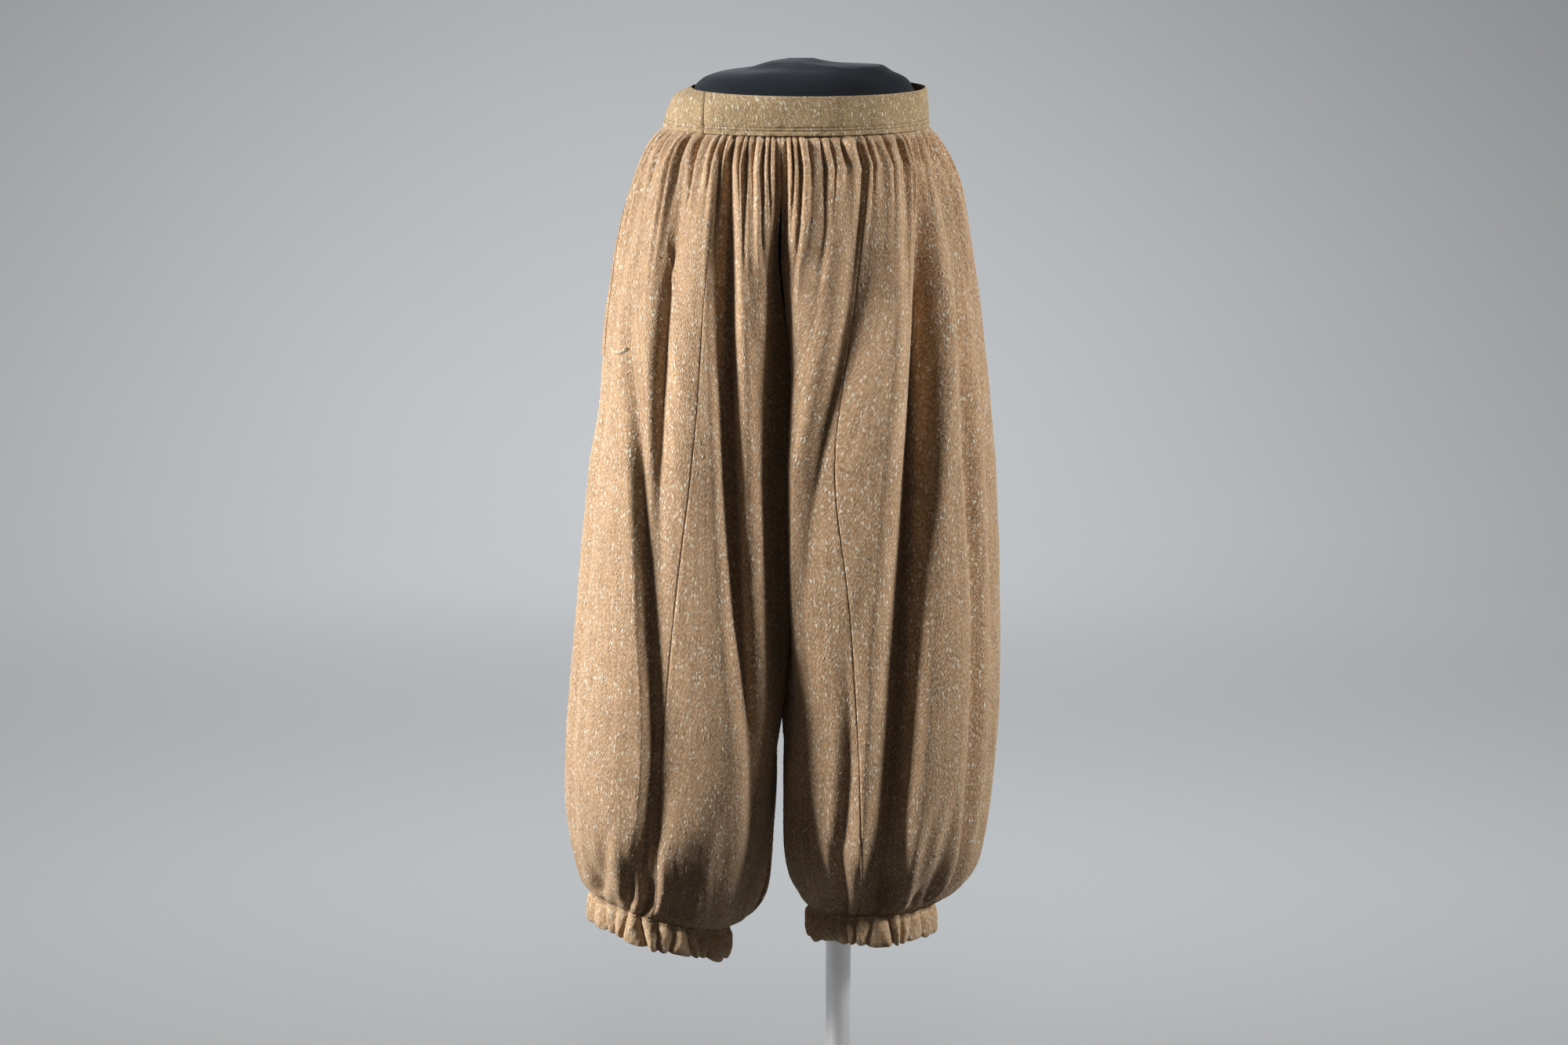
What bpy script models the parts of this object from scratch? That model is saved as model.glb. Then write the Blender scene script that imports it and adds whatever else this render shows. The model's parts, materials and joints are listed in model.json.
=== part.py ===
"""Full wool bloomers, worn on a limbless dress form with a pole and a round base.

Every length in the tables is in millimetres and MM turns it into metres. +Z is up, the front faces -Y,
and the pole stands on the Z axis. Left and right are the wearer's, so the right leg is on the -X side.
"""

from collections import namedtuple

import bpy
import numpy as np

MM = 0.001
COLLECTION = "bloomers"

# Driving dimensions of the cloth
CLOTH = 2.0  # the wall of a leg panel
BAND_CLOTH = 3.0  # the waistband is folded double
CUFF_CLOTH = 3.0  # so is a casing
SEAM_GAP = 0.3  # between two pieces that are sewn together
CENTRE_X = -58.0  # the plane of the centre seam, left of the pole
HALF_COLUMNS = 40  # of points in half a leg's ring, two for each gather
LOOSE_ROW = 8  # the level where the legs part, which the columns are shared out by
LEAST_APART = 4.0  # between two folds that each keep a column
WAIST_PULL = 0.65  # how much a fold's column is set by the waist and not by the loose row
PATH_POINTS = 801  # along half a ring, before the columns are picked from it
OUTER_SQUARE = 2.2  # how blunt a leg's outer corners are
GATHER_DEPTH = 2.3  # how far a gather stands out, half of it each way
GATHER_LENGTH = 62.0  # how far down the gathers run before they fade
GATHER_UNLIKE = 0.2  # the share by which one gather differs from the next
GATHER_START = 0.75  # a gather's share of its depth right under the band
GATHER_OPENS = 14.0  # below the band it has its whole depth
FLAT_STRIP = (14.0, 30.0)  # the side opening lies nearly flat up to the first, gathered past the second
FLAT_SHARE = 0.8
RUFFLES = 11  # on each half of a cuff
RUFFLE_DEPTH = 3.2
RUFFLE_LENGTH = 42.0  # how far up the leg the cuff's ruffles run
RUFFLE_SHARE = 0.7  # of their depth, where the leg meets the casing
RUFFLE_UNLIKE = 0.15
SIDE_FADE = (6.0, 26.0)  # from the side seam, where the folds of the front and back begin
SEAM_FADE = (2.0, 24.0)  # the same from the centre seam
SIDE_FOLDS_TOP = (1010.0, 930.0)  # where the side folds begin and reach their depth
SIDE_FOLDS_FOOT = (250.0, 330.0)

# Driving dimensions of the band, casings, placket and stand
CASING_HEIGHT = 29.0
CASING_COLUMNS = 44  # in each half
BAND_COLUMNS = 24  # in each half
BAND_SEAM_X = -136.0  # the upright seam that shows at the right of the front
BAND_TWIN_SEAM = -0.02  # the angle of its plain twin at the left side, from +X
PLACKET_COLUMNS = 4
PLACKET_ROWS = 7
PLACKET_CLOTH = 1.3
POLE_RADIUS = 12.6
POLE_TOP = 829.0
SOCKET_FLOOR = 9.0
COLLAR_RADIUS = 30.0
COLLAR_HEIGHT = 12.0
FORM_SIDES = 28
POLE_STEPS = 32
COLLAR_STEPS = 24
BASE_STEPS = 40

# A row is one level of a leg, from the waist seam down to the cuff seam. Outer and inner are X, front and
# back are Y, split is 0 where both legs share one oval and 1 where they are apart, square is how blunt
# the inner corners are, and lean and nod lift the outer side and the back.
Level = namedtuple("Level", "height outer inner front back split square lean nod")
RIGHT_LEG = (
    Level(1020.7, -174.5, -58.6, -94, 94, 0.00, 2.6, 0, 8.5),
    Level(1006, -187.0, -58.6, -103, 104, 0.00, 2.7, 0, 8),
    Level(987, -196.0, -58.6, -110, 112, 0.00, 2.8, 0, 7),
    Level(958, -206.0, -58.6, -117, 121, 0.01, 3.0, 0, 5),
    Level(915, -216.8, -58.6, -125, 130, 0.06, 3.2, 0, 3),
    Level(865, -224.3, -58.6, -133, 139, 0.30, 3.4, 0, 1),
    Level(810, -230.6, -58.6, -138, 146, 0.56, 3.4, 0, 0),
    Level(750, -234.5, -58.6, -137, 145, 0.80, 3.4, 0, 0),
    Level(690, -244.4, -58.7, -131, 139, 1.00, 3.4, 0, 0),
    Level(610, -253.0, -58.8, -129, 136, 1.00, 3.4, 0, 0),
    Level(530, -260.0, -59.2, -128, 134, 1.00, 3.4, 0, 0),
    Level(450, -267.5, -60.0, -126, 131, 1.00, 3.2, 0, 0),
    Level(370, -271.5, -64.0, -121, 124, 1.00, 3.0, 1, 0),
    Level(303, -267.0, -70.0, -107, 109, 1.00, 2.8, 6, 0),
    Level(266, -261.0, -75.5, -90, 92, 1.00, 2.5, 13, 1),
    Level(245, -256.0, -88.0, -75, 77, 1.00, 2.2, 17, 2),
    Level(234, -248.5, -111.0, -61, 63, 1.00, 2.0, 19, 2),
)
LEFT_LEG = (
    Level(1020.7, 88.0, -57.4, -94, 94, 0.00, 2.6, 0, 8.5),
    Level(1006, 97.0, -57.4, -103, 104, 0.00, 2.7, 0, 8),
    Level(987, 107.5, -57.4, -110, 112, 0.00, 2.8, 0, 7),
    Level(958, 119.0, -57.4, -117, 121, 0.01, 3.0, 0, 5),
    Level(915, 128.8, -57.4, -125, 130, 0.06, 3.2, 0, 3),
    Level(865, 135.4, -57.4, -133, 139, 0.30, 3.4, 0, 1),
    Level(810, 141.3, -57.4, -138, 146, 0.56, 3.4, 0, 0),
    Level(750, 147.0, -57.4, -137, 145, 0.80, 3.4, 0, 0),
    Level(690, 152.0, -57.3, -131, 139, 1.00, 3.4, 0, 0),
    Level(610, 155.8, -57.2, -129, 136, 1.00, 3.4, 0, 0),
    Level(530, 157.5, -56.8, -128, 134, 1.00, 3.4, 0, 0),
    Level(450, 157.5, -56.3, -126, 131, 1.00, 3.2, 0, 0),
    Level(370, 152.5, -54.5, -121, 124, 1.00, 3.0, 0, 0),
    Level(308, 144.5, -52.0, -107, 109, 1.00, 2.8, 0, 0),
    Level(275, 135.5, -46.5, -90, 92, 1.00, 2.5, 1, 1),
    Level(253, 117.0, -38.5, -75, 77, 1.00, 2.2, 1, 2),
    Level(240, 94.0, -30.0, -60, 62, 1.00, 2.0, 1, 3),
)

# A row is one large fold: its X at six heights, how far it stands out (a valley is below 0) at four
# heights, and how far its left and right flanks reach.
FOLD_HEIGHTS = (990, 850, 700, 550, 400, 290)
DEPTH_HEIGHTS = (1000, 820, 560, 290)
Fold = namedtuple("Fold", "name x990 x850 x700 x550 x400 x290 d1000 d820 d560 d290 left right")
RIGHT_FRONT_FOLDS = (
    Fold("outer ridge", -190, -216, -224, -238, -248, -246, 0, 1, 3, 4, 12, 10),
    Fold("outer valley", -182, -205, -203, -201, -200, -202, 0, -2, -6, -9, 9, 11),
    Fold("first ridge", -170, -194, -188, -182, -180, -186, 2, 5, 5, 4, 9, 9),
    Fold("first valley", -152, -171, -180, -176, -172, -170, -4, -10, -1, 0, 8, 12),
    Fold("second ridge", -143, -150, -166, -166, -160, -152, 2, 4, 2, 1, 9, 12),
    Fold("low ridge", -126, -127, -122, -121, -116, -104, 0, 2, 4, 3, 10, 10),
    Fold("deep valley", -111, -111, -102, -94, -84, -86, -4, -15, -12, 0, 7, 12),
    Fold("inner ridge", -100, -94, -80, -78, -76, -80, 3, 6, 5, 2, 9, 7),
)
LEFT_FRONT_FOLDS = (
    Fold("inner ridge", -30, -32, -43, -42, -38, -34, 2, 6, 5, 2, 7, 11),
    Fold("inner valley", 20, 9, -16, -26, -24, -20, -3, -9, -3, 0, 9, 14),
    Fold("middle ridge", 33, 50, 46, 40, 33, 24, 2, 7, 7, 5, 14, 8),
    Fold("short valley", 61, 68, 66, 60, 56, 50, -3, -3, 0, 0, 6, 6),
    Fold("deep valley", 83, 87, 76, 65, 56, 48, -4, -16, -16, -10, 8, 14),
    Fold("outer ridge", 93, 106, 111, 110, 101, 84, 2, 7, 7, 5, 11, 8),
    Fold("outer valley", 100, 119, 127, 138, 133, 124, -2, -7, -8, -5, 6, 8),
    Fold("low valley", 12, 10, 8, 8, 9, 0, 0, 0, 0, -8, 8, 12),
)
RIGHT_BACK_FOLDS = (
    Fold("outer valley", -176, -198, -206, -212, -216, -214, -3, -8, -6, -4, 14, 12),
    Fold("outer ridge", -160, -178, -184, -188, -190, -190, 2, 6, 6, 4, 12, 13),
    Fold("middle valley", -142, -153, -160, -160, -158, -160, -3, -12, -11, -6, 15, 11),
    Fold("middle ridge", -124, -131, -134, -132, -132, -136, 2, 5, 6, 4, 12, 13),
    Fold("inner valley", -106, -108, -106, -102, -100, -106, -4, -13, -12, -4, 14, 11),
    Fold("inner ridge", -86, -84, -80, -77, -79, -84, 3, 6, 5, 2, 10, 9),
)
LEFT_BACK_FOLDS = (
    Fold("inner ridge", -30, -32, -35, -37, -35, -31, 3, 6, 5, 2, 9, 11),
    Fold("inner valley", -8, -5, -8, -11, -10, -7, -4, -12, -9, -3, 11, 14),
    Fold("middle ridge", 16, 23, 22, 19, 19, 16, 2, 6, 6, 4, 13, 12),
    Fold("middle valley", 40, 52, 52, 49, 47, 40, -3, -13, -14, -8, 11, 15),
    Fold("outer ridge", 64, 82, 86, 84, 79, 70, 2, 6, 6, 4, 13, 12),
    Fold("outer valley", 84, 106, 115, 117, 111, 99, -3, -8, -7, -5, 12, 12),
)

# A row is one fold down a leg's outer side, its Y at three heights and how far it stands out.
SideFold = namedtuple("SideFold", "name y950 y650 y330 depth reach")
SIDE_FOLDS = (
    SideFold("front valley", -46, -58, -50, -6, 11),
    SideFold("middle valley", 28, 24, 30, -8, 12),
    SideFold("back valley", 78, 84, 74, -6, 11),
)
SIDE_FOLD_HEIGHTS = (950, 650, 330)

# X of the seam between the outer and inner front panels, at the fold heights
RIGHT_INSET_SEAM = (-120, -131, -144, -162, -176, -182)
LEFT_INSET_SEAM = (27, 15, -1, 11, 19, 22)

# The seam between the legs wanders by this much, which closes the view between them
CENTRE_WAVE = 7.0
CENTRE_WAVE_LENGTH = 200.0
CENTRE_WAVE_REACH = (10.0, 90.0)  # to each side of the seam, where it is whole and where it is gone
CENTRE_WAVE_HEIGHTS = (1100, 940, 860, 470, 400, 100)
CENTRE_WAVE_SHARES = (0, 0, 1, 1, 0, 0)

# A row is one level of the waistband, top to bottom
BandLevel = namedtuple("BandLevel", "height left right depth nod")
BAND = (
    BandLevel(1060, -148, 86.5, 90.0, 9),
    BandLevel(1054, -161, 87.3, 91.5, 9),
    BandLevel(1043, -169, 88.0, 93.0, 9),
    BandLevel(1032, -173, 88.5, 94.2, 9),
    BandLevel(1021, -175.5, 89.5, 95.2, 8.5),
)

# A row is one level of a casing: how far below the cuff seam, how far it swells, its ruffles' share
CasingLevel = namedtuple("CasingLevel", "drop swell ruffle")
CASING = (
    CasingLevel(0.00, 0.0, 0.7),
    CasingLevel(0.25, 2.5, 1.0),
    CasingLevel(0.60, 3.5, 1.2),
    CasingLevel(0.88, 2.5, 1.1),
    CasingLevel(1.00, 0.0, 0.8),
)

# A row is one level of the dress form, top to bottom
FormLevel = namedtuple("FormLevel", "height left right depth nod")
FORM = (
    FormLevel(1089, -62, -4, 20, 0),
    FormLevel(1086.5, -84, 16, 38, 0),
    FormLevel(1081, -106, 40, 56, 1),
    FormLevel(1073, -128, 60, 72, 3),
    FormLevel(1065, -141, 78, 83, 7),
    FormLevel(1059, -144.6, 83.1, 86.6, 9),
    FormLevel(1048, -146, 82.3, 86.0, 9),
    FormLevel(1021, -156, 81.5, 85.0, 8),
    FormLevel(985, -168, 90, 92, 5),
    FormLevel(940, -182, 98, 97, 2),
    FormLevel(905, -180, 96, 92, 0),
    FormLevel(878, -166, 84, 76, 0),
    FormLevel(856, -140, 62, 56, 0),
    FormLevel(841.6, -100, 44, 42, 0),
)

BASE_PROFILE = (  # X and Z of half the turned base, down its outer side and back under it
    (0, SOCKET_FLOOR),
    (POLE_RADIUS + SEAM_GAP, SOCKET_FLOOR),
    (POLE_RADIUS + SEAM_GAP, 36),
    (19, 36),
    (21, 34),
    (22, 15),
    (30, 11),
    (176, 9),
    (180, 6),
    (180, 0),
    (0, 0),
)

Panel = namedtuple("Panel", "outside inside")
Leg = namedtuple("Leg", "name side levels front_folds back_folds inset_seam")
LEGS = (
    Leg("right", -1, RIGHT_LEG, RIGHT_FRONT_FOLDS, RIGHT_BACK_FOLDS, RIGHT_INSET_SEAM),
    Leg("left", 1, LEFT_LEG, LEFT_FRONT_FOLDS, LEFT_BACK_FOLDS, LEFT_INSET_SEAM),
)
FRONT, BACK = -1, 1

# Colour, roughness and metallic value of each material
FINISHES = {
    "wool_twill": ((0.381, 0.262, 0.152), 0.92, 0.0),
    "band_twill": ((0.456, 0.319, 0.176), 0.9, 0.0),
    "form_cloth": ((0.021, 0.026, 0.032), 0.95, 0.0),
    "satin_steel": ((0.40, 0.40, 0.41), 0.38, 1.0),
    "painted_base": ((0.32, 0.33, 0.34), 0.5, 0.0),
}


# Helpers for curves through the tables


def smooth_between(at, stops, values):
    """Reads a smooth curve through the values, which belong to rising stops."""
    stops, values = np.asarray(stops, float), np.asarray(values, float)
    slopes = np.gradient(values, stops)
    i = np.clip(np.searchsorted(stops, at) - 1, 0, len(stops) - 2)
    step = stops[i + 1] - stops[i]
    u = np.clip((at - stops[i]) / step, 0, 1)
    start = (1 + 2 * u) * (1 - u) ** 2 * values[i] + u * (1 - u) ** 2 * step * slopes[i]
    end = u**2 * (3 - 2 * u) * values[i + 1] + u**2 * (u - 1) * step * slopes[i + 1]
    return start + end


def by_height(height, heights, values):
    """The same for a table whose heights fall."""
    return smooth_between(height, heights[::-1], values[::-1])


def eased(value, low, high):
    """Rises from 0 at low to 1 at high with soft ends."""
    u = np.clip((value - low) / (high - low), 0, 1)
    return u * u * (3 - 2 * u)


def bump(x, middle, left, right):
    """A soft ridge, 1 in its middle, whose two flanks may reach unlike distances."""
    return np.exp(-(((x - middle) / np.where(x < middle, left, right)) ** 2))


def blunt(value, power):
    return np.sign(value) * np.abs(value) ** (2 / power)


# The ring of cloth at one level of a leg


def base_half(leg, row, face):
    """Half a leg's ring with no folds, from its outer side to the centre seam or the inseam."""
    level = leg.levels[row]
    opposite = next(other for other in LEGS if other is not leg).levels[row]
    share = np.linspace(0, 1, PATH_POINTS)
    depth = level.front if face == FRONT else level.back

    middle = (level.outer + opposite.outer) / 2
    half = abs(level.outer - opposite.outer) / 2
    end = np.arccos(np.clip((CENTRE_X - middle) * leg.side / half, -1, 1))
    angle = share * end
    oval_x = middle + leg.side * half * np.cos(angle)
    oval_y = depth * np.sin(angle)

    own_middle = (level.outer + level.inner) / 2
    own_half = abs(level.outer - level.inner) / 2
    angle = share * np.pi
    power = np.where(angle < np.pi / 2, OUTER_SQUARE, level.square)
    own_x = own_middle + leg.side * own_half * blunt(np.cos(angle), power)
    own_y = depth * blunt(np.sin(angle), power)

    x = (1 - level.split) * oval_x + level.split * own_x
    y = (1 - level.split) * oval_y + level.split * own_y
    return np.stack([x, y], axis=1)


def evenly_spaced(path, count):
    """The path again with points at equal distances, and its length."""
    along = np.concatenate([[0], np.cumsum(np.linalg.norm(np.diff(path, axis=0), axis=1))])
    at = np.linspace(0, along[-1], count)
    return np.stack([np.interp(at, along, path[:, k]) for k in (0, 1)], axis=1), along[-1]


def outward(path, turn):
    """The level normal at each point of a path; turn is 1 where it runs anticlockwise."""
    tangent = np.gradient(path, axis=0)
    tangent /= np.linalg.norm(tangent, axis=1)[:, None]
    return np.stack([tangent[:, 1], -tangent[:, 0]], axis=1) * turn


def fold_x(leg, level, stops):
    """X of a fold at one level, and how much narrower the leg is there than where the table ends."""
    held = np.clip(level.height, FOLD_HEIGHTS[-1], FOLD_HEIGHTS[0])
    heights = [other.height for other in leg.levels[::-1]]
    outer = np.interp(held, heights, [other.outer for other in leg.levels[::-1]])
    inner = np.interp(held, heights, [other.inner for other in leg.levels[::-1]])
    shrink = (level.outer - level.inner) / (outer - inner)
    return level.inner + (by_height(held, FOLD_HEIGHTS, stops) - inner) * shrink, shrink


def large_folds(leg, level, face, x):
    total = np.zeros_like(x)
    for fold in leg.front_folds if face == FRONT else leg.back_folds:
        middle, shrink = fold_x(leg, level, fold[1:7])
        depth = by_height(level.height, DEPTH_HEIGHTS, fold[7:11])
        total += depth * bump(x, middle, fold.left * shrink, fold.right * shrink)
    return total


def side_folds(y, height):
    total = np.zeros_like(y)
    for fold in SIDE_FOLDS:
        middle = by_height(height, SIDE_FOLD_HEIGHTS, fold[1:4])
        total += fold.depth * bump(y, middle, fold.reach, fold.reach)
    return total * eased(height, *SIDE_FOLDS_TOP) * eased(height, *SIDE_FOLDS_FOOT)


def gather_wave(count):
    """The gathers at each column of a quarter of the waist: high on even columns, low on odd ones."""
    column = np.arange(count)
    size = 1 - GATHER_UNLIKE + GATHER_UNLIKE * np.sin(1.7 * column + 0.6)
    return (1 - 2 * (column % 2)) * size


def ruffle_wave(share):
    """The cuff's ruffles along half a ring, high at both ends, no two quite alike."""
    size = 1 - RUFFLE_UNLIKE + RUFFLE_UNLIKE * np.sin(17 * share)
    return np.cos(2 * np.pi * RUFFLES * share) * size


def centre_wander(points, height):
    """Moves both legs alike near the seam between them, so that no straight gap is left."""
    near = 1 - eased(np.abs(points[:, 0] - CENTRE_X), *CENTRE_WAVE_REACH)
    wave = np.sin(2 * np.pi * (points[:, 1] / CENTRE_WAVE_LENGTH + 0.5))
    share = by_height(height, CENTRE_WAVE_HEIGHTS, CENTRE_WAVE_SHARES)
    return CENTRE_WAVE * share * near * wave


def leg_row(leg, row, face, shares, gathers):
    """The cloth's outer and inner points at given shares of half a ring, as two arrays of X, Y and Z."""
    level = leg.levels[row]
    path, length = evenly_spaced(base_half(leg, row, face), PATH_POINTS)
    normal = outward(path, leg.side * face)
    whole = np.linspace(0, 1, PATH_POINTS)
    base = np.stack([np.interp(shares, whole, path[:, k]) for k in (0, 1)], axis=1)
    normal = np.stack([np.interp(shares, whole, normal[:, k]) for k in (0, 1)], axis=1)
    normal /= np.linalg.norm(normal, axis=1)[:, None]

    from_side = shares * length
    off_centre = eased(np.abs(base[:, 0] - CENTRE_X), *SEAM_FADE)
    moved = large_folds(leg, level, face, base[:, 0]) * eased(from_side, *SIDE_FADE) * off_centre
    moved += side_folds(base[:, 1], level.height) * normal[:, 0] ** 2 * off_centre
    below = leg.levels[0].height - level.height
    opening = GATHER_START + (1 - GATHER_START) * eased(below, 0, GATHER_OPENS)
    fading = np.exp(-((below / GATHER_LENGTH) ** 2)) * opening
    flat_strip = 1 - FLAT_SHARE * (1 - eased(from_side, *FLAT_STRIP)) * (leg.name == "right")
    moved += GATHER_DEPTH * fading * gathers * flat_strip
    above = level.height - leg.levels[-1].height
    near_cuff = np.exp(-((above / RUFFLE_LENGTH) ** 2))
    moved += RUFFLE_DEPTH * RUFFLE_SHARE * near_cuff * ruffle_wave(shares)

    return walled(leg, level, base, normal, moved, CLOTH)


def walled(leg, level, base, normal, moved, thickness):
    """Lifts a row of plan points to its height, with the wall's inner points behind them."""
    middle = (level.outer + level.inner) / 2
    half = abs(level.outer - level.inner) / 2
    depth = (level.back - level.front) / 2
    rise = level.lean * leg.side * (base[:, 0] - middle) / half + level.nod * base[:, 1] / depth
    faces = []
    for offset in (0, thickness):
        plan = base + normal * (moved - offset)[:, None]
        x = plan[:, 0] + centre_wander(plan, level.height)
        faces.append(np.stack([x, plan[:, 1], level.height + rise], axis=1))
    return faces


# Meshes


def wall_mesh(name, outside, inside, closed=False):
    """A closed wall between two grids of points, of rows from top to bottom."""
    rows, columns = outside.shape[:2]
    points = np.concatenate([outside.reshape(-1, 3), inside.reshape(-1, 3)]) * MM
    number = np.arange(rows * columns).reshape(rows, columns)
    if closed:
        number = np.concatenate([number, number[:, :1]], axis=1)
    back = number + rows * columns

    def strip(a, b):
        return [(a[i], b[i], b[i + 1], a[i + 1]) for i in range(len(a) - 1)]

    faces = []
    for r in range(rows - 1):
        faces += strip(number[r], number[r + 1])
        faces += strip(back[r + 1], back[r])
    faces += strip(back[0], number[0])
    faces += strip(number[-1], back[-1])
    if not closed:
        faces += strip(number[:, 0], back[:, 0])
        faces += strip(back[:, -1], number[:, -1])
    mesh = bpy.data.meshes.new(name)
    mesh.from_pydata(points.tolist(), [], [tuple(int(i) for i in face) for face in faces])
    return mesh


def flipped_if_inside_out(mesh):
    """Turns the faces over where the solid's signed volume is negative."""
    mesh.calc_loop_triangles()
    at = np.array([vertex.co for vertex in mesh.vertices])
    corners = at[np.array([triangle.vertices for triangle in mesh.loop_triangles])]
    volume = np.einsum("ij,ij->i", corners[:, 0], np.cross(corners[:, 1], corners[:, 2])).sum()
    if volume < 0:
        mesh.flip_normals()
    mesh.update()
    return mesh


def material(name):
    """The named finish as a Principled material, made once."""
    made = bpy.data.materials.get(name)
    if made is None:
        colour, roughness, metallic = FINISHES[name]
        made = bpy.data.materials.new(name)
        made.use_nodes = True
        shader = made.node_tree.nodes["Principled BSDF"]
        shader.inputs["Base Color"].default_value = (*colour, 1)
        shader.inputs["Roughness"].default_value = roughness
        shader.inputs["Metallic"].default_value = metallic
        made.diffuse_color = (*colour, 1)
    return made


def new_object(name, mesh, finish, collection):
    mesh.materials.append(material(finish))
    made = bpy.data.objects.new(name, mesh)
    collection.objects.link(made)
    return made


# The leg panels


def share_of(leg, row, face, stops):
    """How far along half a ring a fold or seam lies, from 0 at the side to 1 at the inner end."""
    x, _ = fold_x(leg, leg.levels[row], stops)
    path, _ = evenly_spaced(base_half(leg, row, face), PATH_POINTS)
    return float(np.interp(-leg.side * x, -leg.side * path[:, 0], np.linspace(0, 1, PATH_POINTS)))


def apart(track, other):
    """Whether two folds keep their order, and some distance, at every height."""
    between = np.subtract(track, other)
    return np.all(between > LEAST_APART) or np.all(between < -LEAST_APART)


def anchor_columns(leg, face):
    """Gives the front's seam and the deepest folds each a column that it keeps from top to bottom."""
    folds = leg.front_folds if face == FRONT else leg.back_folds
    kept = [leg.inset_seam] if face == FRONT else []
    for fold in sorted(folds, key=lambda fold: -max(np.abs(fold[7:11]))):
        if all(apart(fold[1:7], other) for other in kept):
            kept.append(fold[1:7])
    anchors = {0: None, HALF_COLUMNS: None}
    for track in kept:
        top, loose = share_of(leg, 0, face, track), share_of(leg, LOOSE_ROW, face, track)
        column = HALF_COLUMNS * (WAIST_PULL * top + (1 - WAIST_PULL) * loose)
        if track is leg.inset_seam:
            column = 2 * round(column / 2)
        if all(abs(round(column) - other) > 1 for other in anchors):
            anchors[round(column)] = track
    return dict(sorted(anchors.items()))


def column_shares(leg, row, face, anchors):
    """Where each column lies along half a ring: at its fold, or evenly between two of them."""
    found = [number / HALF_COLUMNS if track is None else share_of(leg, row, face, track)
             for number, track in anchors.items()]
    return np.interp(np.arange(HALF_COLUMNS + 1), list(anchors), found)


def panel_grids(leg, face, part):
    """The points of one leg panel: the outer front, the inner front, or the whole back."""
    anchors = anchor_columns(leg, face)
    seam = next((number for number, track in anchors.items() if track is leg.inset_seam), None)
    first, last = {"front": (0, seam), "inset": (seam, HALF_COLUMNS), "back": (0, HALF_COLUMNS)}[part]
    gathers = gather_wave(HALF_COLUMNS + 1)[first : last + 1]
    outside, inside = [], []
    for row in range(len(leg.levels)):
        _, length = evenly_spaced(base_half(leg, row, face), PATH_POINTS)
        shares = column_shares(leg, row, face, anchors)[first : last + 1]
        shares[0] += SEAM_GAP / 2 / length
        shares[-1] -= SEAM_GAP / 2 / length
        outer, inner = leg_row(leg, row, face, shares, gathers)
        outside.append(outer)
        inside.append(inner)
    return Panel(np.array(outside), np.array(inside))


def build_leg(leg, collection):
    for part, face in (("front", FRONT), ("inset", FRONT), ("back", BACK)):
        panel = panel_grids(leg, face, part)
        name = f"{leg.name}_leg_{part}"
        mesh = flipped_if_inside_out(wall_mesh(name, panel.outside, panel.inside))
        new_object(name, mesh, "wool_twill", collection)


def build_placket(collection):
    """The side opening's strip: the right front panel's own points by the side seam, moved out."""
    panel = panel_grids(LEGS[0], FRONT, "front")
    skin = panel.outside[:PLACKET_ROWS, : PLACKET_COLUMNS + 1]
    away = skin - panel.inside[:PLACKET_ROWS, : PLACKET_COLUMNS + 1]
    away /= np.linalg.norm(away, axis=2)[:, :, None]
    inside = skin + away * SEAM_GAP
    outside = skin + away * (SEAM_GAP + PLACKET_CLOTH)
    mesh = flipped_if_inside_out(wall_mesh("placket", outside, inside))
    new_object("placket", mesh, "wool_twill", collection)


def build_cuff(leg, collection):
    """The elastic casing: a ruffled ring that hangs from the leg's last row."""
    last = leg.levels[-1]
    shares = np.arange(CASING_COLUMNS) / CASING_COLUMNS
    outside, inside = [], []
    for casing in CASING:
        level = last._replace(height=last.height - SEAM_GAP - CASING_HEIGHT * casing.drop)
        grids = []
        for face in (FRONT, BACK):
            at = shares if face == FRONT else 1 - shares
            path, _ = evenly_spaced(base_half(leg, len(leg.levels) - 1, face), PATH_POINTS)
            normal = outward(path, leg.side * face)
            whole = np.linspace(0, 1, PATH_POINTS)
            base = np.stack([np.interp(at, whole, path[:, k]) for k in (0, 1)], axis=1)
            normal = np.stack([np.interp(at, whole, normal[:, k]) for k in (0, 1)], axis=1)
            moved = casing.swell + RUFFLE_DEPTH * casing.ruffle * ruffle_wave(at)
            grids.append(walled(leg, level, base, normal, moved, CUFF_CLOTH))
        outside.append(np.concatenate([grids[0][0], grids[1][0]]))
        inside.append(np.concatenate([grids[0][1], grids[1][1]]))
    name = f"{leg.name}_cuff"
    mesh = wall_mesh(name, np.array(outside), np.array(inside), closed=True)
    new_object(name, flipped_if_inside_out(mesh), "band_twill", collection)


# The waistband


def oval(level, angle, inset=0.0):
    """A point of a level oval, seen as an angle from +X; inset moves it inwards."""
    middle, half = (level.left + level.right) / 2, (level.right - level.left) / 2
    x = middle + (half - inset) * np.cos(angle)
    y = (level.depth - inset) * np.sin(angle)
    return np.stack([x, y, level.height + level.nod * np.sin(angle)], axis=-1)


def band_edges():
    """The angles of the band's two seams: the one that shows, and its plain twin at the left side."""
    bottom = BAND[-1]
    middle, half = (bottom.left + bottom.right) / 2, (bottom.right - bottom.left) / 2
    right_seam = -np.arccos((BAND_SEAM_X - middle) / half)
    return right_seam, BAND_TWIN_SEAM


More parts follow.
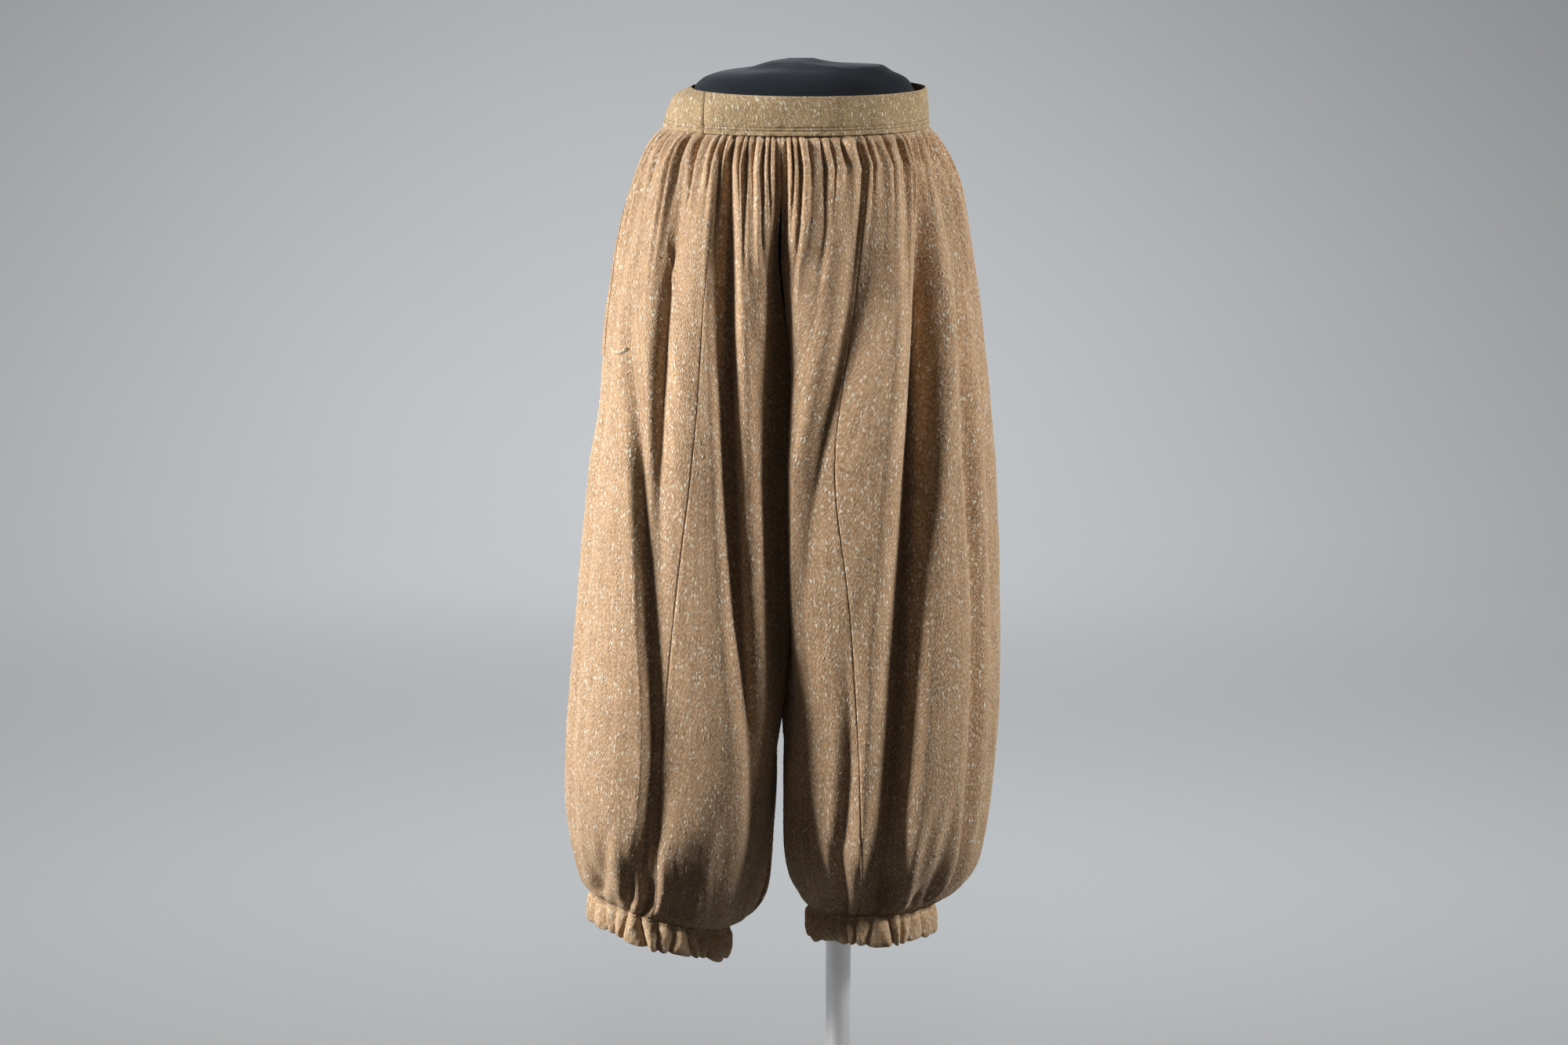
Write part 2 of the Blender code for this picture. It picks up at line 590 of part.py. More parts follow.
def build_band(collection):
    right_seam, left_seam = band_edges()
    gap = SEAM_GAP / 2 / BAND[0].depth
    pieces = (
        ("waistband_front", right_seam + gap, left_seam - gap),
        ("waistband_back", left_seam + gap, right_seam + 2 * np.pi - gap),
    )
    for name, start, end in pieces:
        angle = np.linspace(start, end, BAND_COLUMNS + 1)
        outside = np.array([oval(level, angle) for level in BAND])
        inside = np.array([oval(level, angle, BAND_CLOTH) for level in BAND])
        mesh = flipped_if_inside_out(wall_mesh(name, outside, inside))
        new_object(name, mesh, "band_twill", collection)


# The stand


def build_form(collection):
    """The dress form: level ovals lofted from the dome to the flat underside."""
    angle = np.arange(FORM_SIDES) * 2 * np.pi / FORM_SIDES
    rings = np.array([oval(level, angle) for level in FORM]) * MM
    number = np.arange(len(FORM) * FORM_SIDES).reshape(len(FORM), FORM_SIDES)
    wrapped = np.concatenate([number, number[:, :1]], axis=1)
    faces = [tuple(int(i) for i in number[0]), tuple(int(i) for i in number[-1][::-1])]
    for upper, lower in zip(wrapped[:-1], wrapped[1:]):
        for i in range(FORM_SIDES):
            faces.append(tuple(int(k) for k in (upper[i], lower[i], lower[i + 1], upper[i + 1])))
    mesh = bpy.data.meshes.new("form_torso")
    mesh.from_pydata(rings.reshape(-1, 3).tolist(), [], faces)
    flipped_if_inside_out(mesh).shade_smooth()
    new_object("form_torso", mesh, "form_cloth", collection)


def turned(name, profile, finish, steps, collection):
    """A profile of X and Z spun about the Z axis."""
    mesh = bpy.data.meshes.new(name)
    points = [(x * MM, 0, z * MM) for x, z in profile]
    mesh.from_pydata(points, [(i, i + 1) for i in range(len(points) - 1)], [])
    made = new_object(name, mesh, finish, collection)
    spin = made.modifiers.new("turned", "SCREW")
    spin.steps = steps
    spin.render_steps = steps
    spin.use_merge_vertices = True
    spin.merge_threshold = 0.0001
    return made


def build_stand(collection):
    build_form(collection)
    pole_foot = SOCKET_FLOOR + SEAM_GAP
    pole = ((0, POLE_TOP), (POLE_RADIUS, POLE_TOP), (POLE_RADIUS, pole_foot), (0, pole_foot))
    turned("pole", pole, "satin_steel", POLE_STEPS, collection)
    collar_foot = POLE_TOP + SEAM_GAP
    collar_top = collar_foot + COLLAR_HEIGHT
    collar = ((0, collar_top), (COLLAR_RADIUS, collar_top), (COLLAR_RADIUS, collar_foot), (0, collar_foot))
    turned("pole_collar", collar, "satin_steel", COLLAR_STEPS, collection)
    turned("base_plate", BASE_PROFILE, "painted_base", BASE_STEPS, collection)


def build():
    for leftover in list(bpy.data.objects):
        bpy.data.objects.remove(leftover, do_unlink=True)
    collection = bpy.data.collections.new(COLLECTION)
    bpy.context.scene.collection.children.link(collection)
    build_band(collection)
    for leg in LEGS:
        build_leg(leg, collection)
        build_cuff(leg, collection)
    build_placket(collection)
    build_stand(collection)


build()
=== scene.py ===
# %% [markdown]
# # Wool bloomers on a dress form
# The object is a pair of very full bloomers in thick, brushed wool twill. A band holds the waist, elastic
# casings hold the cuffs, and between them the cloth hangs in long, deep folds. It is worn on a limbless
# dress form with a steel pole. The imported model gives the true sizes, and this lesson makes the looks.
# Right and left are the wearer's, so the right leg is on the -X side, which is the left of the picture.

# %% Load the frame
import json
from collections import namedtuple

import bpy
import numpy as np
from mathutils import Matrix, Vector

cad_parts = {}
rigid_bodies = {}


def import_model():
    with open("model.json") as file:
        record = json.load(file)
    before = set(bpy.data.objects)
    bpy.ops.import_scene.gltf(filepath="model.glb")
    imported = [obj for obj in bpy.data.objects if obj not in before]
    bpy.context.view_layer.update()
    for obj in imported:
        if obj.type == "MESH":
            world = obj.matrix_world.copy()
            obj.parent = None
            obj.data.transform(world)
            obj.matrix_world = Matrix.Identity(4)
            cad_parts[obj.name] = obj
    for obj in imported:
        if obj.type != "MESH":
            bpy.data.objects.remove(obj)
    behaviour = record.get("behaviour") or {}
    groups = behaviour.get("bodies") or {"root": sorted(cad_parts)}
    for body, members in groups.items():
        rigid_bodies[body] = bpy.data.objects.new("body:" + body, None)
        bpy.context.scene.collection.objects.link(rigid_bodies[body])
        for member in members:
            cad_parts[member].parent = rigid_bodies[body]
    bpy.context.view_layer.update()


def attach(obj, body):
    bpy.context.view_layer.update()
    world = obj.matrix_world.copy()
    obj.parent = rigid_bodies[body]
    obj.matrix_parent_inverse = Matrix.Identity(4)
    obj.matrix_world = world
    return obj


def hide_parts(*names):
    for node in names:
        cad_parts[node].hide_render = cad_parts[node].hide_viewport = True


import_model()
MM = 0.001

# %% [markdown]
# ## The camera
# The photograph was taken from the front with a long lens, a little above the waist. A camera can look
# down by tilting or by shifting its lens. Tilting is used here, because the other views turn the camera
# round the object and would carry a shift along.

# %% The camera
CAMERA_PLACE = Vector((-0.055, -4.5, 1.09))
CAMERA_AIM = Vector((-0.055, 0.0, 0.6245))
VIEW_WIDTH = 1.574
SENSOR_WIDTH = 36.0

lens = bpy.data.cameras.new("studio_lens")
lens.sensor_width = SENSOR_WIDTH
lens.lens = SENSOR_WIDTH * (CAMERA_AIM - CAMERA_PLACE).length / VIEW_WIDTH
camera = bpy.data.objects.new("studio_camera", lens)
camera.location = CAMERA_PLACE
camera.rotation_euler = (CAMERA_AIM - CAMERA_PLACE).to_track_quat("-Z", "Y").to_euler()
bpy.context.scene.collection.objects.link(camera)
bpy.context.scene.camera = camera
bpy.context.scene.view_settings.view_transform = "Standard"
print("lens in mm:", round(lens.lens, 1))

# %% [markdown]
# ## Writing materials as sums
# A material is a net of nodes, and nets are hard to read as code. This small class wraps one socket, so
# that `1 - mask * 0.5` adds the Math nodes by itself. Every other node comes from one method that takes
# the node's type, its settings and its sockets.


# %% A socket that can be reckoned with
class Wire:
    def __init__(self, finish, socket):
        self.finish = finish
        self.socket = socket

    def maths(self, operation, *values):
        sockets = dict(enumerate(values))
        return self.finish.node("Math", {"operation": operation}, sockets)

    def __add__(self, other):
        return self.maths("ADD", self, other)

    def __radd__(self, other):
        return self.maths("ADD", other, self)

    def __sub__(self, other):
        return self.maths("SUBTRACT", self, other)

    def __rsub__(self, other):
        return self.maths("SUBTRACT", other, self)

    def __mul__(self, other):
        return self.maths("MULTIPLY", self, other)

    def sine(self):
        return self.maths("SINE", self)

    def above(self, limit):
        return self.maths("GREATER_THAN", self, limit)

    def ramped(self, low, high):
        """0 below low and 1 above high, with a soft step between them."""
        settings = {"interpolation_type": "SMOOTHSTEP"}
        return self.finish.node("MapRange", settings, {0: self, 1: low, 2: high})


# %% A material that is being wired
class Finish:
    def __init__(self, name):
        self.material = bpy.data.materials.new(name)
        self.material.use_nodes = True
        self.tree = self.material.node_tree
        self.shader = self.tree.nodes["Principled BSDF"]

    def node(self, kind, settings=None, sockets=None, output=0):
        made = self.tree.nodes.new("ShaderNode" + kind)
        for key, value in (settings or {}).items():
            setattr(made, key, value)
        for key, value in (sockets or {}).items():
            self.plug(made.inputs[key], value)
        return Wire(self, made.outputs[output])

    def plug(self, socket, value):
        if isinstance(value, Wire):
            self.tree.links.new(value.socket, socket)
        else:
            socket.default_value = value

    def surface(self, **values):
        for key, value in values.items():
            self.plug(self.shader.inputs[key.replace("_", " ")], value)
        return self.material

    def mixed(self, share, low, high):
        """The colour low where share is 0, and high where it is 1."""
        return self.node("Mix", {"data_type": "RGBA"}, {0: share, 6: low, 7: high}, output=2)

    def own_place(self):
        """Metres in the object's own frame."""
        return self.node("TexCoord", output=3)

    def cloth_axes(self):
        """Metres across and down the cloth, from the map that each cloth piece carries."""
        place = self.node("UVMap", {"uv_map": CLOTH_MAP})
        parts = self.tree.nodes.new("ShaderNodeSeparateXYZ")
        self.plug(parts.inputs[0], place)
        return place, Wire(self, parts.outputs[0]), Wire(self, parts.outputs[1])

    def noise(self, place, per_metre, detail=2.0, roughness=0.5):
        sockets = {"Vector": place, "Scale": per_metre, "Detail": detail, "Roughness": roughness}
        return self.node("TexNoise", None, sockets)

    def raised(self, height, distance, strength=1.0, under=None):
        sockets = {"Height": height, "Distance": distance, "Strength": strength}
        if under is not None:
            sockets["Normal"] = under
        return self.node("Bump", None, sockets)


CLOTH_MAP = "cloth"
print("finishes can be wired")

# %% [markdown]
# ## The wool
# The legs are a heavy 2/2 twill: fine ridges climb to the right, steeply, about 1.3 mm apart, and each
# ridge is a row of short floats of yarn. Brushing has raised a nap that blurs the ridges, and pale neps,
# tiny knots of fibre, are spun into the yarn. A picture of the cloth would be quick, but sums of waves
# and noise keep their grain at any distance and show no repeat. The band and the casings are cut from a
# finer, yellower twill whose ridges lie flatter. The casings' twill is painted paler than the legs', as
# painted light that lifts the cuffs out of the shade they hang in.

# %% Twill finishes
Twill = namedtuple("Twill", "name slope pitch float_length light dark pale_share")
LEG_TWILL = Twill("wool_twill", 62.0, 1.3, 3.6, (0.80, 0.530, 0.320), (0.205, 0.122, 0.064), 0.95)
BAND_TWILL = Twill("band_twill", -33.0, 1.15, 2.6, (0.66, 0.475, 0.268), (0.185, 0.125, 0.062), 0.8)
# The casing's colours are painted paler than the leg's, as painted light for the shaded cuffs.
CASING_TWILL_PAINTED_LIGHT = Twill("casing_twill", 60.0, 1.2, 3.0, (0.90, 0.62, 0.375), (0.31, 0.195, 0.105), 0.8)
NAP_WAVER = 2.0  # how many radians the nap pushes a ridge aside
FLOATS_TO_PITCH = 0.85  # rows of floats to each ridge
Nep = namedtuple("Nep", "across down chosen whiteness")  # cells to a metre, and the share that stays empty
NEPS = (Nep(330.0, 130.0, 0.84, 1.0), Nep(560.0, 210.0, 0.66, 0.7))
NEP_PALE = (0.86, 0.80, 0.68, 1)
RIDGE_HEIGHT = 0.0006
FUZZ_HEIGHT = 0.0007


def nep_mask(made, across, down, waver, nep):
    """1 on scattered upright dashes, each in a cell of its own."""
    cells = made.tree.nodes.new("ShaderNodeTexVoronoi")
    cells.voronoi_dimensions = "2D"
    place = made.node("CombineXYZ", None, {0: across * nep.across + waver * 1.2, 1: down * nep.down})
    made.plug(cells.inputs["Vector"], place)
    made.plug(cells.inputs["Scale"], 1.0)
    near = 1 - Wire(made, cells.outputs["Distance"]).ramped(0.16, 0.36)
    parts = made.tree.nodes.new("ShaderNodeSeparateColor")
    made.plug(parts.inputs[0], Wire(made, cells.outputs["Color"]))
    return near * Wire(made, parts.outputs[0]).above(nep.chosen) * nep.whiteness


def twill_finish(twill):
    made = Finish(twill.name)
    place, across, down = made.cloth_axes()
    slope = np.radians(twill.slope)
    turn = 2 * np.pi / (twill.pitch * MM)
    waver = made.noise(place, 260.0, 3.0) - 0.5
    over = across * np.sin(slope) - down * np.cos(slope)
    along = across * np.cos(slope) + down * np.sin(slope)
    ridge = (over * turn + waver * NAP_WAVER).sine() * 0.5 + 0.5
    along_yarn = along * (1 / (twill.float_length * MM))
    across_yarn = over * (FLOATS_TO_PITCH / (twill.pitch * MM))
    yarn = made.node("CombineXYZ", None, {0: along_yarn, 1: across_yarn})
    floats = made.noise(yarn, 1.0, 2.0, 0.6).ramped(0.34, 0.66)
    fuzz = made.noise(place, 1150.0, 3.0, 0.65)
    patches = made.noise(place, 45.0, 3.0, 0.55)
    streaks = made.noise(made.node("CombineXYZ", None, {0: across * 210.0, 1: down * 12.0}), 1.0, 2.0)
    neps = sum(nep_mask(made, across, down, waver, nep) for nep in NEPS) * twill.pale_share

    # The tone follows the weave's relief: ridges and floats are painted lighter where they stand up and
    # darker in the grooves between them, as painted shade. Fuzz, patches and streaks vary it at random.
    tone = ridge * 0.26 + floats * 0.50 + fuzz * 0.95 + patches * 0.45 + streaks * 0.55 - 0.855
    colour = made.mixed(tone, (*twill.dark, 1), (*twill.light, 1))
    colour = made.mixed(neps, colour, NEP_PALE)
    height = ridge * 0.35 + floats * 0.65 + neps * 0.9
    nap = made.raised(fuzz, FUZZ_HEIGHT, 1.0)
    woven = made.raised(height, RIDGE_HEIGHT, 1.0, nap)
    return made.surface(
        Base_Color=colour, Roughness=0.94, Normal=woven, Specular_IOR_Level=0.12,
        Sheen_Weight=0.42, Sheen_Roughness=0.5, Sheen_Tint=(0.98, 0.84, 0.66, 1),
    )


wool = twill_finish(LEG_TWILL)
band_wool = twill_finish(BAND_TWILL)
casing_wool_painted_light = twill_finish(CASING_TWILL_PAINTED_LIGHT)
print("twills:", wool.name, band_wool.name, casing_wool_painted_light.name)

# %% [markdown]
# ## Thread, form cloth, steel and paint
# The band and the side opening are sewn in thread a shade darker than the cloth, the casings and the bar
# tack in cream. The form is covered in a dull navy jersey. The pole is satin steel, brushed round and
# round, and the base is painted in a plain grey.

# %% Other finishes
THREAD_DARK = (0.13, 0.088, 0.048, 1)
THREAD_LIGHT = (0.30, 0.215, 0.12, 1)
CREAM_DARK = (0.66, 0.57, 0.40, 1)
CREAM_LIGHT = (0.92, 0.86, 0.68, 1)
NAVY_DARK = (0.0050, 0.0066, 0.0095, 1)
NAVY_LIGHT = (0.0150, 0.0185, 0.0240, 1)
TWIST_TO_METRE = 1600.0


def thread_finish(name, dark, light):
    made = Finish(name)
    place = made.own_place()
    twist = made.noise(place, TWIST_TO_METRE, 2.0)
    return made.surface(
        Base_Color=made.mixed(twist, dark, light), Roughness=0.8,
        Normal=made.raised(twist, 0.0002, 0.7), Sheen_Weight=0.2,
    )


def jersey_finish():
    made = Finish("form_jersey")
    place = made.own_place()
    grain = made.noise(place, 1300.0, 3.0, 0.6)
    cloud = made.noise(place, 22.0, 3.0)
    colour = made.mixed(grain * 0.5 + cloud * 0.5, NAVY_DARK, NAVY_LIGHT)
    return made.surface(
        Base_Color=colour, Roughness=0.93, Normal=made.raised(grain, 0.0003, 0.8),
        Specular_IOR_Level=0.12, Sheen_Weight=0.08, Sheen_Roughness=0.5, Sheen_Tint=(0.6, 0.7, 0.85, 1),
    )


def metal_finish(name, dark, light, roughness, metallic, stretch):
    made = Finish(name)
    place = made.own_place()
    long = made.node("VectorMath", {"operation": "MULTIPLY"}, {0: place, 1: stretch})
    brushed = made.noise(long, 1.0, 4.0, 0.6)
    cloud = made.noise(place, 9.0, 3.0)
    return made.surface(
        Base_Color=made.mixed(brushed * 0.5 + cloud * 0.5, dark, light), Metallic=metallic,
        Roughness=brushed * 0.12 + cloud * 0.1 + (roughness - 0.11),
        Normal=made.raised(brushed, 0.00004, 0.4),
    )


thread = thread_finish("sewing_thread", THREAD_DARK, THREAD_LIGHT)
cream_thread = thread_finish("cream_thread", CREAM_DARK, CREAM_LIGHT)
jersey = jersey_finish()
steel = metal_finish("satin_steel", (0.74, 0.74, 0.75, 1), (0.92, 0.92, 0.93, 1), 0.42, 0.65, (60, 60, 1800))
paint = metal_finish("base_paint", (0.27, 0.28, 0.29, 1), (0.34, 0.35, 0.36, 1), 0.5, 0.0, (900, 900, 900))
print("finishes:", len(bpy.data.materials))

# %% [markdown]
# ## The levels of the legs
# A leg is measured like a tailor would, level by level from the waist seam to the cuff seam: how far out
# it reaches, how deep it is, and how far apart the two legs are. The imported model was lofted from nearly
# the same rows. Here the right leg's inner corner is squarer and the lower legs are fuller. Reading a
# smooth curve through the rows gives as many levels as the fine cloth needs.

# %% Level tables, in millimetres
Level = namedtuple("Level", "height outer inner front back split square lean nod")
RIGHT_LEVELS = (
    Level(1020.7, -174.5, -58.6, -94, 94, 0.00, 2.6, 0, 8.5),
    Level(1006, -187.0, -58.6, -103, 104, 0.00, 2.7, 0, 8),
    Level(987, -196.0, -58.6, -110, 112, 0.00, 2.8, 0, 7),
    Level(958, -206.0, -58.6, -117, 121, 0.01, 3.6, 0, 5),
    Level(915, -216.8, -58.6, -125, 130, 0.06, 4.6, 0, 3),
    Level(865, -224.3, -58.6, -133, 139, 0.30, 6.0, 0, 1),
    Level(810, -230.6, -58.6, -138, 146, 0.56, 7.0, 0, 0),
    Level(750, -234.5, -58.6, -137, 145, 0.80, 7.0, 0, 0),
    Level(690, -244.4, -58.7, -131, 139, 1.00, 7.0, 0, 0),
    Level(610, -253.0, -58.8, -129, 136, 1.00, 7.0, 0, 0),
    Level(530, -260.0, -59.2, -128, 134, 1.00, 6.5, 0, 0),
    Level(450, -267.5, -60.0, -126, 131, 1.00, 5.4, 0, 0),
    Level(370, -271.5, -64.0, -121, 124, 1.00, 4.0, 1, 0),
    Level(303, -267.0, -70.0, -113, 115, 1.00, 2.8, 6, 0),
    Level(266, -261.0, -75.5, -99, 101, 1.00, 2.5, 13, 1),
    Level(245, -256.0, -88.0, -84, 86, 1.00, 2.2, 17, 2),
    Level(234, -248.5, -111.0, -72, 74, 1.00, 2.0, 19, 2),
)
LEFT_LEVELS = (
    Level(1020.7, 88.0, -57.4, -94, 94, 0.00, 2.6, 0, 8.5),
    Level(1006, 97.0, -57.4, -103, 104, 0.00, 2.7, 0, 8),
    Level(987, 107.5, -57.4, -110, 112, 0.00, 2.8, 0, 7),
    Level(958, 119.0, -57.4, -117, 121, 0.01, 3.0, 0, 5),
    Level(915, 128.8, -57.4, -125, 130, 0.06, 3.2, 0, 3),
    Level(865, 135.4, -57.4, -133, 139, 0.30, 4.4, 0, 1),
    Level(810, 141.3, -57.4, -138, 146, 0.56, 4.6, 0, 0),
    Level(750, 147.0, -57.4, -137, 145, 0.80, 4.6, 0, 0),
    Level(690, 152.0, -57.3, -131, 139, 1.00, 4.6, 0, 0),
    Level(610, 155.8, -57.2, -129, 136, 1.00, 4.6, 0, 0),
    Level(530, 157.5, -56.8, -128, 134, 1.00, 4.2, 0, 0),
    Level(450, 157.5, -56.3, -126, 131, 1.00, 3.2, 0, 0),
    Level(370, 152.5, -54.5, -121, 124, 1.00, 3.0, 0, 0),
    Level(308, 144.5, -52.0, -113, 115, 1.00, 2.8, 0, 0),
    Level(275, 135.5, -46.5, -99, 101, 1.00, 2.5, 1, 1),
    Level(253, 117.0, -38.5, -84, 86, 1.00, 2.2, 1, 2),
    Level(240, 94.0, -30.0, -71, 73, 1.00, 2.0, 1, 3),
)
CENTRE_X = -58.0
OUTER_SQUARE = 2.2
print("levels:", len(RIGHT_LEVELS))

# %% [markdown]
# ## The folds
# A bag of heavy wool hangs in long round lobes with narrow creases between them. The fold rows say where
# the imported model's ridges and creases run at six heights, as far as columns of the mesh are to run along
# them. The valley rows say where the render's creases run, how deep they are at four heights, and how wide
# their flanks: a short steep flank beside a long round one gives the sharp shadow edge that the photograph
# has down each ridge. The back can't be seen in the photograph, and gets folds of its own in the same
# manner.

# %% Fold tables, in millimetres
FRONT, BACK = -1, 1
FOLD_HEIGHTS = (990, 850, 700, 550, 400, 290)
DEPTH_HEIGHTS = (1000, 820, 560, 290)
TRACK = slice(1, 7)  # a row's six X values
DEPTHS = slice(7, 11)  # a valley row's four depths
Fold = namedtuple("Fold", "name x990 x850 x700 x550 x400 x290")
RIGHT_FRONT_FOLDS = (
    Fold("outer ridge", -190, -216, -224, -238, -248, -246),
    Fold("outer valley", -182, -205, -203, -201, -200, -202),
    Fold("deep valley", -111, -111, -102, -94, -84, -86),
    Fold("inner ridge", -100, -94, -80, -78, -76, -80),
)
LEFT_FRONT_FOLDS = (
    Fold("inner ridge", -30, -32, -43, -42, -38, -34),
    Fold("deep valley", 83, 87, 76, 65, 56, 48),
    Fold("outer ridge", 93, 106, 111, 110, 101, 84),
    Fold("outer valley", 100, 119, 127, 138, 133, 124),
)
RIGHT_BACK_FOLDS = (
    Fold("outer valley", -176, -198, -206, -212, -216, -214),
    Fold("outer ridge", -160, -178, -184, -188, -190, -190),
    Fold("middle valley", -142, -153, -160, -160, -158, -160),
    Fold("middle ridge", -124, -131, -134, -132, -132, -136),
    Fold("inner valley", -106, -108, -106, -102, -100, -106),
    Fold("inner ridge", -86, -84, -80, -77, -79, -84),
)
LEFT_BACK_FOLDS = (
    Fold("inner ridge", -30, -32, -35, -37, -35, -31),
    Fold("inner valley", -8, -5, -8, -11, -10, -7),
    Fold("middle ridge", 16, 23, 22, 19, 19, 16),
    Fold("middle valley", 40, 52, 52, 49, 47, 40),
    Fold("outer ridge", 64, 82, 86, 84, 79, 70),
    Fold("outer valley", 84, 106, 115, 117, 111, 99),
)
# The render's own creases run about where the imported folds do, but fall off like a lobe, not like a wave:
# deepest and sharp in the crease, with one short steep flank and one long round one.
Valley = namedtuple("Valley", "name x990 x850 x700 x550 x400 x290 d1000 d820 d560 d290 left right")
RIGHT_FRONT_VALLEYS = (
    Valley("outer valley", -182, -204, -196, -189, -185, -196, 0, 6, 15, 9, 8, 62),
    Valley("first valley", -152, -171, -178, -174, -170, -170, 5, 15, 0, 0, 10, 30),
    Valley("deep valley", -111, -111, -102, -94, -84, -86, 6, 28, 25, 4, 17, 24),
    Valley("inner valley", -88, -82, -72, -70, -70, -72, 3, 2, 0, 4, 8, 8),
)
LEFT_FRONT_VALLEYS = (
    Valley("inner valley", 20, 9, -14, -26, -24, -20, 5, 12, 3, 0, 14, 44),
    Valley("short valley", 61, 66, 64, 60, 56, 50, 5, 4, 0, 0, 7, 9),
    Valley("deep valley", 83, 87, 76, 65, 56, 48, 10, 38, 41, 27, 31, 25),
    Valley("outer valley", 100, 119, 127, 136, 133, 124, 6, 13, 15, 13, 12, 8),
    Valley("low valley", 12, 10, 8, 8, 9, 0, 0, 0, 0, 11, 12, 22),
)
RIGHT_BACK_VALLEYS = (
    Valley("outer valley", -176, -198, -206, -212, -216, -214, 4, 13, 10, 7, 12, 34),
    Valley("middle valley", -142, -153, -160, -160, -158, -160, 5, 19, 18, 10, 34, 12),
    Valley("inner valley", -106, -108, -106, -102, -100, -106, 5, 20, 19, 7, 12, 30),
)
LEFT_BACK_VALLEYS = (
    Valley("inner valley", -8, -5, -8, -11, -10, -7, 5, 19, 15, 5, 30, 12),
    Valley("middle valley", 40, 52, 52, 49, 47, 40, 5, 20, 22, 13, 12, 34),
    Valley("outer valley", 84, 106, 115, 117, 111, 99, 4, 13, 11, 8, 32, 12),
)
VALLEYS = {
    ("right", FRONT): RIGHT_FRONT_VALLEYS, ("left", FRONT): LEFT_FRONT_VALLEYS,
    ("right", BACK): RIGHT_BACK_VALLEYS, ("left", BACK): LEFT_BACK_VALLEYS,
}
RIGHT_INSET_SEAM = (-120, -131, -144, -162, -176, -182)
LEFT_INSET_SEAM = (27, 15, -1, 11, 19, 22)
SideFold = namedtuple("SideFold", "name y950 y650 y330 depth reach")
SIDE_FOLD_HEIGHTS = (950, 650, 330)
SIDE_TRACK = slice(1, 4)  # a side fold's three Y values
SIDE_FOLDS = (
    SideFold("front valley", -46, -58, -50, -6, 11),
    SideFold("middle valley", 28, 24, 30, -8, 12),
    SideFold("back valley", 78, 84, 74, -6, 11),
)
Leg = namedtuple("Leg", "name side levels front_folds back_folds inset_seam")
LEGS = (
    Leg("right", -1, RIGHT_LEVELS, RIGHT_FRONT_FOLDS, RIGHT_BACK_FOLDS, RIGHT_INSET_SEAM),
    Leg("left", 1, LEFT_LEVELS, LEFT_FRONT_FOLDS, LEFT_BACK_FOLDS, LEFT_INSET_SEAM),
)
print("folds:", sum(len(leg.front_folds) + len(leg.back_folds) for leg in LEGS))


# %% Smooth curves, soft steps and lines of points
def smooth_between(at, stops, values):
    """Reads a smooth curve through the values, which belong to rising stops."""
    stops, values = np.asarray(stops, float), np.asarray(values, float)
    slopes = np.gradient(values, stops, axis=0)
    i = np.clip(np.searchsorted(stops, at) - 1, 0, len(stops) - 2)
    step = stops[i + 1] - stops[i]
    u = np.clip((at - stops[i]) / step, 0, 1)
    start = (1 + 2 * u) * (1 - u) ** 2 * values[i] + u * (1 - u) ** 2 * step * slopes[i]
    end = u**2 * (3 - 2 * u) * values[i + 1] + u**2 * (u - 1) * step * slopes[i + 1]
    return start + end


def by_height(height, heights, values):
    return smooth_between(height, heights[::-1], values[::-1])


def eased(value, low, high):
    """Rises from 0 at low to 1 at high with soft ends."""
    u = np.clip((value - low) / (high - low), 0, 1)
    return u * u * (3 - 2 * u)


def bell(x, middle, reach):
    """A soft ridge, 1 in its middle, that has all but gone at twice its reach."""
    return np.exp(-(((x - middle) / reach) ** 2))


def middle_and_half(end, other_end):
    """The middle between two ends, and half the distance between them."""
    return (end + other_end) / 2, abs(end - other_end) / 2


def distances(points):
    """How far along a line of points each of them lies."""
    return np.concatenate([[0], np.cumsum(np.linalg.norm(np.diff(points, axis=0), axis=1))])


def read_off(at, stops, points):
    """Points at new places along a line of points, which stand at the stops."""
    return np.stack([np.interp(at, stops, column) for column in points.T], axis=-1)


def unit(vectors):
    return vectors / np.linalg.norm(vectors, axis=-1, keepdims=True)


HEIGHTS_READ = 801


def level_at(leg, row):
    """The leg's level at a place between two rows of its table, as in row 3.4."""
    rows = np.arange(len(leg.levels))
    return Level(*smooth_between(row, rows, np.array(leg.levels)))


def smooth_rows(leg):
    """The place of each of many heights between the table's rows, from top to bottom."""
    rows = np.linspace(0, len(leg.levels) - 1, HEIGHTS_READ)
    return rows, np.array([level_at(leg, row).height for row in rows])


ROWS = {leg.name: smooth_rows(leg) for leg in LEGS}


def level_of_height(leg, height):
    rows, heights = ROWS[leg.name]
    return level_at(leg, float(np.interp(-height, -heights, rows)))


print("a level between two rows:", [round(v, 1) for v in level_at(LEGS[0], 3.4)])

# %% [markdown]
# ## One ring of cloth
# At the waist both legs share one oval, and lower down each leg has a blunt oval of its own. The split
# column mixes the two. Half a ring runs from the leg's outer side to the centre seam, and every point of
# the cloth is moved along the ring's own level normal, so that neighbouring folds never cross.


# %% Half a ring without folds
PATH_POINTS = 801


def blunt(value, power):
    return np.sign(value) * np.abs(value) ** (2 / power)


